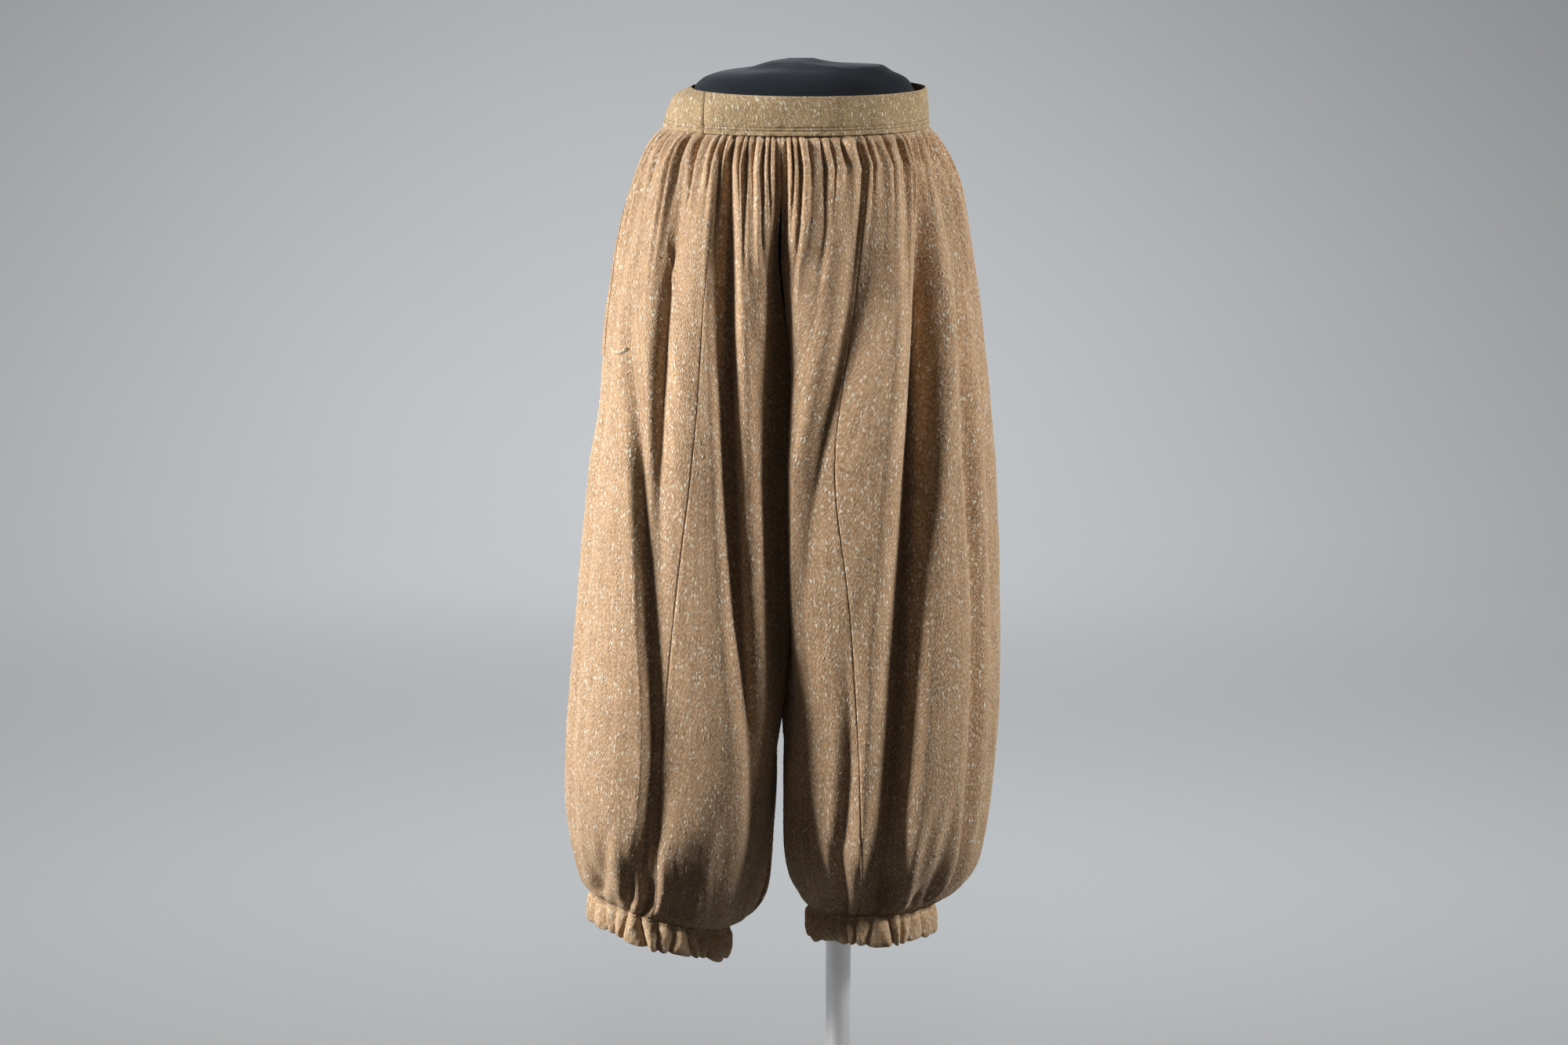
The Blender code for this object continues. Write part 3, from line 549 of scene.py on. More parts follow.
def base_half(leg, row, face):
    level = level_at(leg, row)
    opposite = level_at(next(other for other in LEGS if other is not leg), row)
    share = np.linspace(0, 1, PATH_POINTS)
    depth = level.front if face == FRONT else level.back

    middle, half = middle_and_half(level.outer, opposite.outer)
    angle = share * np.arccos(np.clip((CENTRE_X - middle) * leg.side / half, -1, 1))
    oval_x = middle + leg.side * half * np.cos(angle)
    oval_y = depth * np.sin(angle)

    own_middle, own_half = middle_and_half(level.outer, level.inner)
    angle = share * np.pi
    power = np.where(angle < np.pi / 2, OUTER_SQUARE, level.square)
    own_x = own_middle + leg.side * own_half * blunt(np.cos(angle), power)
    own_y = depth * blunt(np.sin(angle), power)

    oval, own = np.stack([oval_x, oval_y], axis=1), np.stack([own_x, own_y], axis=1)
    split = np.clip(level.split, 0, 1)
    return (1 - split) * oval + split * own


def evenly_spaced(path):
    """The path again with points at equal distances, and its length."""
    along = distances(path)
    return read_off(np.linspace(0, along[-1], len(path)), along, path), along[-1]


def outward(path, turn):
    tangent = unit(np.gradient(path, axis=0))
    return np.stack([tangent[:, 1], -tangent[:, 0]], axis=1) * turn


def points_and_normals(path, turn, shares):
    """Points at shares of the way along a path, and the directions out of the cloth there."""
    whole = np.linspace(0, 1, PATH_POINTS)
    return read_off(shares, whole, path), unit(read_off(shares, whole, outward(path, turn)))


print("half ring at the knee in mm:", round(evenly_spaced(base_half(LEGS[0], 11, FRONT))[1]))

# %% [markdown]
# ## Where the columns run
# The cloth is a grid, and its columns follow the grain of the cloth from the band to the cuff. The front
# seam and each fold row keep a column from top to bottom, so that a fold never wanders across the grid
# and turns ragged. Columns are counted in halves of a gather, with some fine ones between.

# %% Columns that follow the folds
HALF_COLUMNS = 40
LOOSE_ROW = 8
WAIST_PULL = 0.65


def fold_x(leg, level, stops):
    """X of a fold at one level, and how much narrower the leg is there than where the table ends."""
    if FOLD_HEIGHTS[-1] <= level.height <= FOLD_HEIGHTS[0]:
        return float(by_height(level.height, FOLD_HEIGHTS, stops)), 1.0
    height = np.clip(level.height, FOLD_HEIGHTS[-1], FOLD_HEIGHTS[0])
    held = HELD_LEVELS[leg.name, height]
    shrink = (level.outer - level.inner) / (held.outer - held.inner)
    return level.inner + (by_height(height, FOLD_HEIGHTS, stops) - held.inner) * shrink, shrink


HELD_LEVELS = {(leg.name, height): level_of_height(leg, height)
               for leg in LEGS for height in (FOLD_HEIGHTS[0], FOLD_HEIGHTS[-1])}


def share_on(path, leg, level, stops):
    """How far along half a ring a fold or seam lies, from 0 at the side to 1 at the inner end."""
    x, _ = fold_x(leg, level, stops)
    return float(np.interp(-leg.side * x, -leg.side * path[:, 0], np.linspace(0, 1, PATH_POINTS)))


def share_of(leg, row, face, stops):
    return share_on(evenly_spaced(base_half(leg, row, face))[0], leg, level_at(leg, row), stops)


def anchor_columns(leg, face):
    """The track that each kept column runs along, from the side to the inner end."""
    folds = leg.front_folds if face == FRONT else leg.back_folds
    tracks = [fold[TRACK] for fold in folds] + ([leg.inset_seam] if face == FRONT else [])
    anchors = {0: None, HALF_COLUMNS: None}
    for track in tracks:
        top, loose = share_of(leg, 0, face, track), share_of(leg, LOOSE_ROW, face, track)
        column = HALF_COLUMNS * (WAIST_PULL * top + (1 - WAIST_PULL) * loose)
        if track is leg.inset_seam:
            column = 2 * round(column / 2)  # an even column, which runs along the top of a gather
        anchors[round(column)] = track
    return dict(sorted(anchors.items()))


ANCHORS = {(leg.name, face): anchor_columns(leg, face) for leg in LEGS for face in (FRONT, BACK)}
print("columns that folds keep:", {key: list(found) for key, found in ANCHORS.items()})

# %% [markdown]
# ## Gathers, ruffles and small creases
# Under the band the cloth is drawn up into some eighty small gathers. No two are quite alike: each has
# its own depth and fades at its own length. Over the cuffs the elastic draws the cloth into ruffles in
# the same way. Between the long folds lie short creases, each a row with two ends, a depth and a width.

# %% Gathers and ruffles
GATHER_DEPTH = 4.6
GATHER_LENGTH = 76.0
MERGED_DEPTH = 3.0
WAIST_PINCH = 0.34  # the share of their depth that the gathers keep in the waist seam
RUFFLES = 15  # to half a cuff
RUFFLE_DEPTH = 3.2
WIDE_FOLD_DEPTH = 3.0
DIMPLE_DEPTH = 0.35
RUFFLE_LENGTH = 50.0


def gather_wave(column):
    """High on even columns and low on odd ones, with round ridges and pinched valleys."""
    bent = column + 0.42 * np.sin(0.83 * column + 0.4)
    lobe = 2 * np.abs(np.cos(np.pi * bent / 2)) ** 0.8 - 1
    return lobe * (0.84 + 0.30 * np.sin(1.7 * column + 0.6) + 0.24 * np.sin(0.71 * column + 2.0))


def gather_length(column):
    return GATHER_LENGTH * (0.86 + 0.38 * np.sin(1.31 * column + 1.0) + 0.30 * np.sin(0.57 * column))


def merged_wave(column):
    """Below the band neighbouring gathers run together into wider ones."""
    bent = column + 0.9 * np.sin(0.37 * column + 1.1)
    return np.sin(2 * np.pi * bent / 4.6 + 0.5) * (0.7 + 0.3 * np.sin(0.9 * column))


def ruffle_wave(share):
    """The cuff's ruffles along half a ring, high at both ends, no two quite alike."""
    shift = 0.30 * np.sin(2 * np.pi * share) * np.sin(9 * share) + 0.22 * np.sin(6 * np.pi * share)
    lobe = 2 * np.abs(np.cos(np.pi * (RUFFLES * share + 1.5 * shift))) ** 0.8 - 1
    return lobe * (0.80 + 0.26 * np.sin(17 * share) + 0.24 * np.sin(31 * share + 1))


# %% Short creases, in millimetres
Crease = namedtuple("Crease", "x_top top x_low low depth width")
CREASES = {
    ("right", FRONT): (
        Crease(-222, 352, -238, 258, -5, 6),
        Crease(-196, 340, -210, 250, -5, 6),
        Crease(-174, 400, -188, 244, -6.5, 7),
        Crease(-158, 330, -170, 240, -4.5, 5),
        Crease(-136, 345, -150, 238, -6, 6),
        Crease(-104, 380, -126, 240, -6.5, 8),
    ),
    ("left", FRONT): (
        Crease(-34, 390, -14, 258, -6, 7),
        Crease(-12, 340, 6, 246, -4.5, 5),
        Crease(34, 340, 26, 244, -5, 6),
        Crease(64, 350, 50, 246, -5, 6),
        Crease(96, 370, 74, 250, -6, 6),
        Crease(122, 390, 90, 258, -5, 6),
    ),
    ("right", BACK): (
        Crease(-228, 360, -236, 256, -5, 7),
        Crease(-186, 380, -196, 246, -6, 7),
        Crease(-132, 350, -150, 240, -6, 7),
        Crease(-92, 390, -120, 242, -5, 7),
    ),
    ("left", BACK): (
        Crease(-28, 380, -8, 252, -5, 7),
        Crease(22, 350, 20, 242, -6, 7),
        Crease(70, 390, 56, 246, -6, 7),
        Crease(112, 360, 84, 254, -5, 7),
    ),
}


def crease_depths(leg, face, x, height):
    total = np.zeros_like(x)
    for crease in CREASES[leg.name, face]:
        along = np.clip((crease.top - height) / (crease.top - crease.low), -1, 2)
        middle = crease.x_top + (crease.x_low - crease.x_top) * along
        ends = eased(along, -0.05, 0.55) * (1 - eased(along, 0.95, 1.3))
        total += crease.depth * ends * bell(x, middle, crease.width)
    return total


print("gathers:", 2 * 2 * HALF_COLUMNS // 2, "ruffles:", 4 * RUFFLES)

# %% [markdown]
# ## The whole cloth of half a leg
# Everything above comes together here: for one half ring the sum of folds, gathers, ruffles and creases
# says how far each point stands out. The waver of the centre seam keeps light from falling straight
# through between the legs.

# %% Points of the cloth
CLOTH = 1.8
UNDER_BAND = (1010, 940)  # heights between which the long folds grow out of the gathers
SIDES_UNDER_BAND = (1010, 930)
OVER_CUFFS = (250, 330)  # heights between which the long folds run into the ruffles
CENTRE_WAVE = 7.0
CENTRE_WAVE_LENGTH = 200.0
CENTRE_WAVE_HEIGHTS = (1100, 940, 860, 470, 400, 100)
CENTRE_WAVE_SHARES = (0, 0, 1, 1, 0, 0)
LOBE_RISE = 5.0  # how far the lobes between the creases stand out
LOBE_POWER = 1.9  # 1 is a flat flank, and 2 a round one
CREASE_ROUND = 3.0
CENTRE_VALLEY = 34.0  # how deep the cloth sinks in between the legs
CENTRE_VALLEY_WIDTH = 6.5
TUCKED = 2.2  # how far the gathers draw in under the band
TUCK_HEIGHT = 6.0
CUFF_TUCKED = 0.8  # the same over the casing
CUFF_TUCK_HEIGHT = 7.0


def large_folds(leg, level, face, x):
    """How far the lobes between the long creases stand out. The creases end close to both seams."""
    rise = LOBE_RISE * eased(level.height, *UNDER_BAND) * eased(level.height, *OVER_CUFFS)
    total = np.full_like(x, rise)
    above = level.height - leg.levels[-1].height
    ends = (1 - 0.9 * eased(level.height, 990, 1020)) * (0.25 + 0.75 * eased(above, 0, 32))
    for valley in VALLEYS[leg.name, face]:
        middle, shrink = fold_x(leg, level, valley[TRACK])
        depth = by_height(level.height, DEPTH_HEIGHTS, valley[DEPTHS])
        away = x - middle
        reach = np.where(away < 0, valley.left, valley.right) * shrink
        flank = 1 - (np.sqrt(away**2 + CREASE_ROUND**2) - CREASE_ROUND) / reach
        total -= ends * max(depth, 0) * np.clip(flank, 0, 1) ** LOBE_POWER
    return total


def side_folds(y, height):
    total = np.zeros_like(y)
    for fold in SIDE_FOLDS:
        middle = by_height(height, SIDE_FOLD_HEIGHTS, fold[SIDE_TRACK])
        total += fold.depth * bell(y, middle, fold.reach)
    return total * eased(height, *SIDES_UNDER_BAND) * eased(height, *OVER_CUFFS)


def centre_wander(points, height):
    near = 1 - eased(np.abs(points[:, 0] - CENTRE_X), 10, 90)
    wave = np.sin(2 * np.pi * (points[:, 1] / CENTRE_WAVE_LENGTH + 0.5))
    return CENTRE_WAVE * by_height(height, CENTRE_WAVE_HEIGHTS, CENTRE_WAVE_SHARES) * near * wave


def lifted(leg, level, base, normal, moved):
    """Plan points moved along their normals and raised to the level, which leans and nods."""
    middle, half = middle_and_half(level.outer, level.inner)
    depth = (level.back - level.front) / 2
    rise = level.lean * leg.side * (base[:, 0] - middle) / half + level.nod * base[:, 1] / depth
    plan = base + normal * moved[:, None]
    x = plan[:, 0] + centre_wander(plan, level.height)
    return np.stack([x, sunk(plan, depth, level.height), level.height + rise], axis=1)


def sunk(plan, depth, height):
    """Y of plan points once the cloth has sunk in between the legs, alike on both legs."""
    near = bell(plan[:, 0], CENTRE_X, CENTRE_VALLEY_WIDTH)
    share = eased(height, 985, 860) * eased(height, 240, 420)
    return plan[:, 1] - CENTRE_VALLEY * near * share * plan[:, 1] * np.abs(plan[:, 1]) / depth**2


def gathered(leg, level, columns, from_side):
    """How far the gathers under the band stand out. Beside the side opening they are nearly flat."""
    below = leg.levels[0].height - level.height
    flat_strip = 1 - 0.8 * (1 - eased(from_side, 14, 30)) * (leg.name == "right")
    fading = bell(below, 0, gather_length(columns)) * (WAIST_PINCH + (1 - WAIST_PINCH) * eased(below, 0, 10))
    merging = eased(below, 4, 45) * bell(below, 0, 1.7 * gather_length(columns + 9))
    waves = GATHER_DEPTH * fading * gather_wave(columns) + MERGED_DEPTH * merging * merged_wave(columns)
    return waves * flat_strip - TUCKED * eased(from_side, 20, 110) * (1 - eased(below, 0, TUCK_HEIGHT))


def ruffled(leg, level, shares, from_side):
    """How far the ruffles over the cuff stand out, with the wider folds that they run into above."""
    above = level.height - leg.levels[-1].height
    reach = RUFFLE_LENGTH * (1 + 0.45 * np.sin(23 * shares + leg.side) + 0.3 * np.sin(41 * shares))
    ruffles = 0.95 * RUFFLE_DEPTH * bell(above, 0, reach) * ruffle_wave(shares)
    wide = np.sin(0.9 * np.pi * RUFFLES * shares + 2.2 * np.sin(5 * shares) + leg.side)
    wide *= eased(above, 2, 30) * bell(above, 0, 1.7 * reach) * eased(from_side, 4, 30)
    return ruffles + WIDE_FOLD_DEPTH * wide - CUFF_TUCKED * (1 - eased(above, 0, CUFF_TUCK_HEIGHT))


def dimples(columns, height):
    return np.sin(0.9 * columns + 0.031 * height) * np.sin(0.043 * height + 0.4 * columns)


def cloth_row(leg, row, face, columns):
    """The outer and inner points of one row, for columns counted from the side, and its length."""
    level = level_at(leg, row)
    path, length = evenly_spaced(base_half(leg, row, face))
    anchors = ANCHORS[leg.name, face]
    found = [number / HALF_COLUMNS if track is None else share_on(path, leg, level, track)
             for number, track in anchors.items()]
    shares = np.interp(columns, list(anchors), found)
    base, normal = points_and_normals(path, leg.side * face, shares)

    from_side = shares * length
    off_centre = eased(np.abs(base[:, 0] - CENTRE_X), 2, 24)
    moved = large_folds(leg, level, face, base[:, 0]) * eased(from_side, 6, 26) * off_centre
    above = level.height - leg.levels[-1].height
    creases = crease_depths(leg, face, base[:, 0], level.height) * eased(above, 1, 18)
    moved += creases * eased(from_side, 4, 16) * off_centre
    moved += side_folds(base[:, 1], level.height) * normal[:, 0] ** 2 * off_centre
    moved += gathered(leg, level, columns, from_side) + ruffled(leg, level, shares, from_side)
    moved += DIMPLE_DEPTH * dimples(columns, level.height)
    outer, inner = (lifted(leg, level, base, normal, out) for out in (moved, moved - CLOTH))
    return outer, inner, shares, length


outer, inner, _, length = cloth_row(LEGS[0], 5, FRONT, np.arange(41.0))
print("a row of cloth:", outer.shape, "length", round(length), "mm")

# %% [markdown]
# ## Sewing a panel's two faces into one wall
# Real cloth has two faces and an edge. The outer face takes every point. The inner face hardly shows, so
# it takes every second point, and the rim joins the two with five-sided faces. That saves a third of the
# triangles of a Solidify modifier and leaves no hole.


# %% A wall of cloth
HARD_EDGE = np.radians(70)


def numbered(grid):
    """The number of each point in a grid of points."""
    return np.arange(grid.shape[0] * grid.shape[1]).reshape(grid.shape[:2])


def quads(number):
    """The four-sided faces between the rows and columns of a grid of point numbers."""
    return np.stack([number[:-1, :-1], number[1:, :-1], number[1:, 1:], number[:-1, 1:]], -1).reshape(-1, 4)


def mesh_of(name, points, faces):
    """A mesh from points in millimetres and the numbers of each face's corners."""
    mesh = bpy.data.meshes.new(name)
    mesh.from_pydata((points.reshape(-1, 3) * MM).tolist(), [], faces)
    return mesh


def every_second(count):
    kept = list(range(0, count, 2))
    return kept if kept[-1] == count - 1 else kept + [count - 1]


def wall_of(name, outside, inside, across, down, finish):
    """A closed wall from two grids of points in millimetres, with its cloth map in metres."""
    row_kept, column_kept = (every_second(count) for count in outside.shape[:2])
    kept_points = np.ix_(row_kept, column_kept)
    thin = inside[kept_points]
    number = numbered(outside)
    back = numbered(thin) + number.size
    rim = []
    for line, under, kept, turned in (
        (number[0], back[0], column_kept, False),
        (number[-1], back[-1], column_kept, True),
        (number[:, 0], back[:, 0], row_kept, True),
        (number[:, -1], back[:, -1], row_kept, False),
    ):
        for k, (start, end) in enumerate(zip(kept[:-1], kept[1:])):
            face = [*line[start : end + 1], under[k + 1], under[k]]
            rim.append([int(i) for i in (face[::-1] if turned else face)])
    points = np.concatenate([outside.reshape(-1, 3), thin.reshape(-1, 3)])
    mesh = mesh_of(name, points, quads(number).tolist() + quads(back.T).tolist() + rim)
    place = np.stack([across, down], -1) * MM
    lay_map(mesh, np.concatenate([place.reshape(-1, 2), place[kept_points].reshape(-1, 2)]))
    return finished(name, turned_outside(mesh), finish)


def lay_map(mesh, place):
    """Gives each corner of the mesh its point's place on the flat cloth."""
    corner_points = np.zeros(len(mesh.loops), np.int32)
    mesh.loops.foreach_get("vertex_index", corner_points)
    cloth_map = mesh.uv_layers.new(name=CLOTH_MAP)
    cloth_map.data.foreach_set("uv", place[corner_points].astype(np.float32).ravel())


def turned_outside(mesh):
    """Turns the faces over where the wall's volume comes out negative."""
    mesh.calc_loop_triangles()
    at = np.zeros(len(mesh.vertices) * 3)
    mesh.vertices.foreach_get("co", at)
    corners = np.zeros(len(mesh.loop_triangles) * 3, np.int32)
    mesh.loop_triangles.foreach_get("vertices", corners)
    a, b, c = at.reshape(-1, 3)[corners.reshape(-1, 3)].transpose(1, 0, 2)
    if np.einsum("ij,ij->", a, np.cross(b, c)) < 0:
        mesh.flip_normals()
    return mesh


def finished(name, mesh, finish):
    """Puts a mesh into the scene with its finish, shaded smooth apart from hard edges."""
    mesh.materials.append(finish)
    mesh.shade_smooth()
    mesh.set_sharp_from_angle(angle=HARD_EDGE)
    made = bpy.data.objects.new(name, mesh)
    bpy.context.scene.collection.objects.link(made)
    return made


print("walls can be sewn")

# %% [markdown]
# ## The leg panels
# Each leg is cut in three: an outer front, an inset front that widens downwards, and one back. The rows
# lie closest together at the band and the cuffs, where the cloth bends most, and two extra columns stand
# close to each seam, where the edge turns in and makes the fine dark line.

# %% Build the panels
ROW_STEP_FINE = 1.7
ROW_STEP_COARSE = 3.8
FINE_TOP_ROWS = 3  # the first rows of the table, under the band
FINE_LOW_ROW = 13  # from here on the cuff's ruffles begin
FINE_COLUMNS = 4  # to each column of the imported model
SEAM_GAP = 0.3
SEAM_DIP = 0.75
SEAM_DIP_WIDTH = 0.9
EDGE_COLUMNS = (0.0, 0.07, 0.15)
ALLOWANCE = np.array([0, 0, 5.0])  # the seam allowance that lies behind the band and the casing
Panel = namedtuple("Panel", "outside inside across down")


def row_places(leg):
    """Places between the table's rows, close together where the cloth bends most."""
    places = [0.0]
    for row in range(len(leg.levels) - 1):
        tall = leg.levels[row].height - leg.levels[row + 1].height
        fine = row < FINE_TOP_ROWS or row >= FINE_LOW_ROW
        steps = int(np.ceil(tall / (ROW_STEP_FINE if fine else ROW_STEP_COARSE)))
        places += [row + (k + 1) / steps for k in range(steps)]
    return places


def panel_columns(first, last):
    inner_part = np.arange(first * FINE_COLUMNS + 1, last * FINE_COLUMNS) / FINE_COLUMNS
    edge = np.array(EDGE_COLUMNS)
    return np.concatenate([first + edge, inner_part, last - edge[::-1]])


def panel_points(leg, face, first, last):
    """Grids of the panel's outer points, inner points, and place across and down the flat cloth."""
    columns = panel_columns(first, last)
    outside, inside, lengths, places = [], [], [], []
    for row in row_places(leg):
        outer, inner, shares, length = cloth_row(leg, row, face, columns)
        from_edge = distances(outer[:, :2])
        near = np.minimum(from_edge, from_edge[-1] - from_edge)
        dip = unit(inner - outer) * SEAM_DIP * bell(near, 0, SEAM_DIP_WIDTH)[:, None]
        for line in (outer, inner):
            line += dip
            line[0] += unit(line[1] - line[0]) * SEAM_GAP / 2
            line[-1] += unit(line[-2] - line[-1]) * SEAM_GAP / 2
        outside.append(outer)
        inside.append(inner)
        lengths.append(length)
        places.append(shares - 0.5)
    outside = np.array([outside[0] + ALLOWANCE] + outside + [outside[-1] - ALLOWANCE])
    inside = np.array([inside[0] + ALLOWANCE] + inside + [inside[-1] - ALLOWANCE])
    down = np.concatenate([[0], np.cumsum(np.linalg.norm(np.diff(outside, axis=0), axis=2).mean(axis=1))])
    width = (np.array(lengths[:1] + lengths + lengths[-1:]) + max(lengths)) / 2
    across = leg.side * face * width[:, None] * np.array(places[:1] + places + places[-1:])
    return Panel(outside, inside, across, -down[:, None] + 0 * across)


def seam_column(leg):
    return next(number for number, track in ANCHORS[leg.name, FRONT].items() if track is leg.inset_seam)


panels = {}
for leg in LEGS:
    seam = seam_column(leg)
    for part, face, first, last in (
        ("front", FRONT, 0, seam),
        ("inset", FRONT, seam, HALF_COLUMNS),
        ("back", BACK, 0, HALF_COLUMNS),
    ):
        node = f"{leg.name}_leg_{part}"
        panel = panel_points(leg, face, first, last)
        piece = wall_of(node + "_cloth", *panel, wool)
        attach(piece, "root")
        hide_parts(node)
        flat_length = -panel.down.min() * MM
        panels[node] = panel

# %% [markdown]
# ## Rings with a rounded section
# The band and the casings are strips folded double, so their edges are round. Each is a section carried
# round a path: down the outside, round the lower fold, and up the inside again. A ring closes on itself,
# and a strip gets a face at each end.


# %% A section carried along a path
def strip_of(name, grid, across, down, finish, closed):
    """A closed body from points in rows round the section and columns along the path."""
    around, along = grid.shape[:2]
    steps = along if closed else along - 1
    i, j = np.meshgrid(np.arange(around), np.arange(steps), indexing="ij")
    corners_i = np.stack([i, i + 1, i + 1, i], -1).reshape(-1, 4)
    corners_j = np.stack([j, j, j + 1, j + 1], -1).reshape(-1, 4)
    faces = (corners_i % around) * along + corners_j % along
    places = np.stack([across[corners_j], down[corners_i]], -1).reshape(-1, 2) * MM
    ends = []
    if not closed:
        first = np.arange(around) * along
        ends = [first[::-1].tolist(), (first + along - 1).tolist()]
        cap = np.stack([down[:-1] * 0.1, down[:-1]], -1) * MM
        places = np.concatenate([places, cap[::-1], cap])
    mesh = mesh_of(name, grid, faces.tolist() + ends)
    mesh.uv_layers.new(name=CLOTH_MAP).data.foreach_set("uv", places.astype(np.float32).ravel())
    return finished(name, turned_outside(mesh), finish)


CORNER_FACES = 8


def section_drops(height, wall, steps, corner, extra=()):
    """How far down and how far inwards each point of a rounded section lies, in millimetres."""
    down = np.unique(np.concatenate([np.linspace(corner, height - corner, steps), extra]))
    turn = np.linspace(0, np.pi, CORNER_FACES + 1)[1:-1]
    half = wall / 2
    drops = [down, height - corner + corner * np.sin(turn), down[::-1], corner - corner * np.sin(turn)]
    insets = [0 * down, half - half * np.cos(turn), 0 * down + wall, half + half * np.cos(turn)]
    return np.concatenate(drops), np.concatenate(insets)


def arc_lengths(drops, insets):
    steps = np.hypot(np.diff(drops, append=drops[0]), np.diff(insets, append=insets[0]))
    return np.concatenate([[0], np.cumsum(steps)])


print("section points:", len(section_drops(38, 1.7, 24, 0.9)[0]))

# %% [markdown]
# ## The waistband
# The band stands 39 mm high. Its front edge dips where the wearer's waist would be, it bulges at the
# right side, and two upright seams join its halves. Close to its lower edge run two rows of topstitching,
# each in the shallow groove that the pull of the thread makes.

# %% Build the waistband
BandLevel = namedtuple("BandLevel", "height left right depth nod")
BAND = (
    BandLevel(1060, -148, 86.5, 90.0, 9),
    BandLevel(1054, -161, 87.3, 91.5, 9),
    BandLevel(1043, -169, 88.0, 93.0, 9),
    BandLevel(1032, -173, 88.5, 94.2, 9),
    BandLevel(1021, -175.5, 89.5, 95.2, 8.5),
)
BAND_HEIGHT = BAND[0].height - BAND[-1].height
BAND_SEAM_X = -134.0
BAND_TWIN_SEAM = -0.02  # the angle of the other seam
BAND_SEAM_DIP, BAND_SEAM_DIP_WIDTH = 1.5, 1.3
BAND_WALL, BAND_CORNER = 1.8, 0.9
BAND_MEASURED = 4  # the point of the section at which the band's length is measured
BAND_STEPS = 26
BAND_COLUMNS = 190
STITCH_ROWS = (5.0, 8.2)  # above the band's lower edge
GROOVE, GROOVE_WIDTH = 0.8, 0.8


def band_level(drop):
    """The band's level at a drop below its upper edge, with the middle and half of its width."""
    rows = [BAND[0].height - level.height for level in BAND]
    level = BandLevel(*smooth_between(drop, rows, np.array(BAND)))
    return level, *middle_and_half(level.left, level.right)


def band_out(angle, drop):
    """How far the band stands out from its oval: puckers, seams and stitch grooves."""
    puckers = 0.45 * np.sin(47 * angle + 0.35 * drop) * eased(drop, 18, 39) * np.sin(9 * angle + 1)
    slack = 0.7 * np.sin(5 * angle + 0.8) * np.sin(np.pi * drop / BAND_HEIGHT) + 0.35 * np.sin(13 * angle)
    groove = sum(bell(BAND_HEIGHT - drop, row, GROOVE_WIDTH) for row in STITCH_ROWS)
    return puckers + slack - GROOVE * groove


def band_point(angle, drop, inset):
    level, middle, half = band_level(drop)
    inwards = inset - band_out(angle, drop)
    x = middle + (half - inwards) * np.cos(angle)
    y = (level.depth - inwards) * np.sin(angle)
    return np.stack([x, y, BAND[0].height - drop + level.nod * np.sin(angle)], axis=-1)


def band_seam_angle(drop):
    """Where the upright seam lies at a drop: the band bulges, but its seam stays upright."""
    _, middle, half = band_level(drop)
    return -np.arccos((BAND_SEAM_X - middle) / half)


groove_drops = [BAND_HEIGHT - row + step for row in STITCH_ROWS for step in (-1.0, -0.5, 0, 0.5, 1.0)]
drops, insets = section_drops(BAND_HEIGHT, BAND_WALL, BAND_STEPS, BAND_CORNER, groove_drops)
gap = SEAM_GAP / 2 / BAND[0].depth
for node in ("waistband_front", "waistband_back"):
    rows = []
    for drop, inset in zip(drops, insets):
        seam = band_seam_angle(drop)
        start, end = seam + gap, BAND_TWIN_SEAM - gap
        if node == "waistband_back":
            start, end = BAND_TWIN_SEAM + gap, seam + 2 * np.pi - gap
        angle = np.linspace(start, end, BAND_COLUMNS)
        near_end = np.minimum(angle - start, end - angle) * BAND[0].depth
        dip = BAND_SEAM_DIP * bell(near_end, 0, BAND_SEAM_DIP_WIDTH)
        outer_share = 1 - inset / BAND_WALL
        rows.append(band_point(angle, drop, inset + dip * outer_share))
    grid = np.array(rows)
    along = distances(grid[BAND_MEASURED])
    piece = strip_of(node + "_cloth", grid, along, -arc_lengths(drops, insets), band_wool, closed=False)
    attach(piece, "root")
    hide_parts(node)
    print(piece.name, "length", round(along[-1]), "mm")

# %% [markdown]
# ## The elastic casings
# The casing's elastic is shorter than its cloth, so the cloth stands in about thirty round ruffles, plump
# between the stitching above and the fold below. The lower fold hangs in small scallops.

# %% Build the cuffs
CASING_HEIGHT = 29.0
CASING_WALL, CASING_CORNER = 2.2, 1.1
CASING_MEASURED = 8  # the point of the section at which the casing's length is measured
CASING_STEPS = 26
CASING_COLUMNS = 460
STITCH_DROP = 3.6  # of the casing's stitching below its upper edge
CASING_TWIST = 0.034  # how far a lump wanders sideways on its way down, as a share of half the ring


def casing_swell(drop):
    """How far the casing stands out at each drop, and how much of the ruffles it shows."""
    stops = (0, 2.2, STITCH_DROP, 5.5, 12, 20, 25.5, CASING_HEIGHT)
    swell = smooth_between(drop, stops, (-0.2, -0.4, -0.9, 0.3, 1.5, 1.8, 1.2, -0.2))
    ruffle = smooth_between(drop, stops, (0.75, 0.78, 0.75, 0.95, 1.2, 1.2, 1.05, 0.8))
    return swell, ruffle


def casing_ring(leg):
    """Base points, normals and places along each half of the whole ring under a leg."""
    inwards = np.arange(CASING_COLUMNS // 2) / (CASING_COLUMNS // 2)
    parts = []
    for face, share in ((FRONT, inwards), (BACK, 1 - inwards)):
        path, _ = evenly_spaced(base_half(leg, len(leg.levels) - 1, face))
        parts.append((*points_and_normals(path, leg.side * face, share), share))
    return [np.concatenate(column) for column in zip(*parts)]


CASING_RINGS = {leg.name: casing_ring(leg) for leg in LEGS}


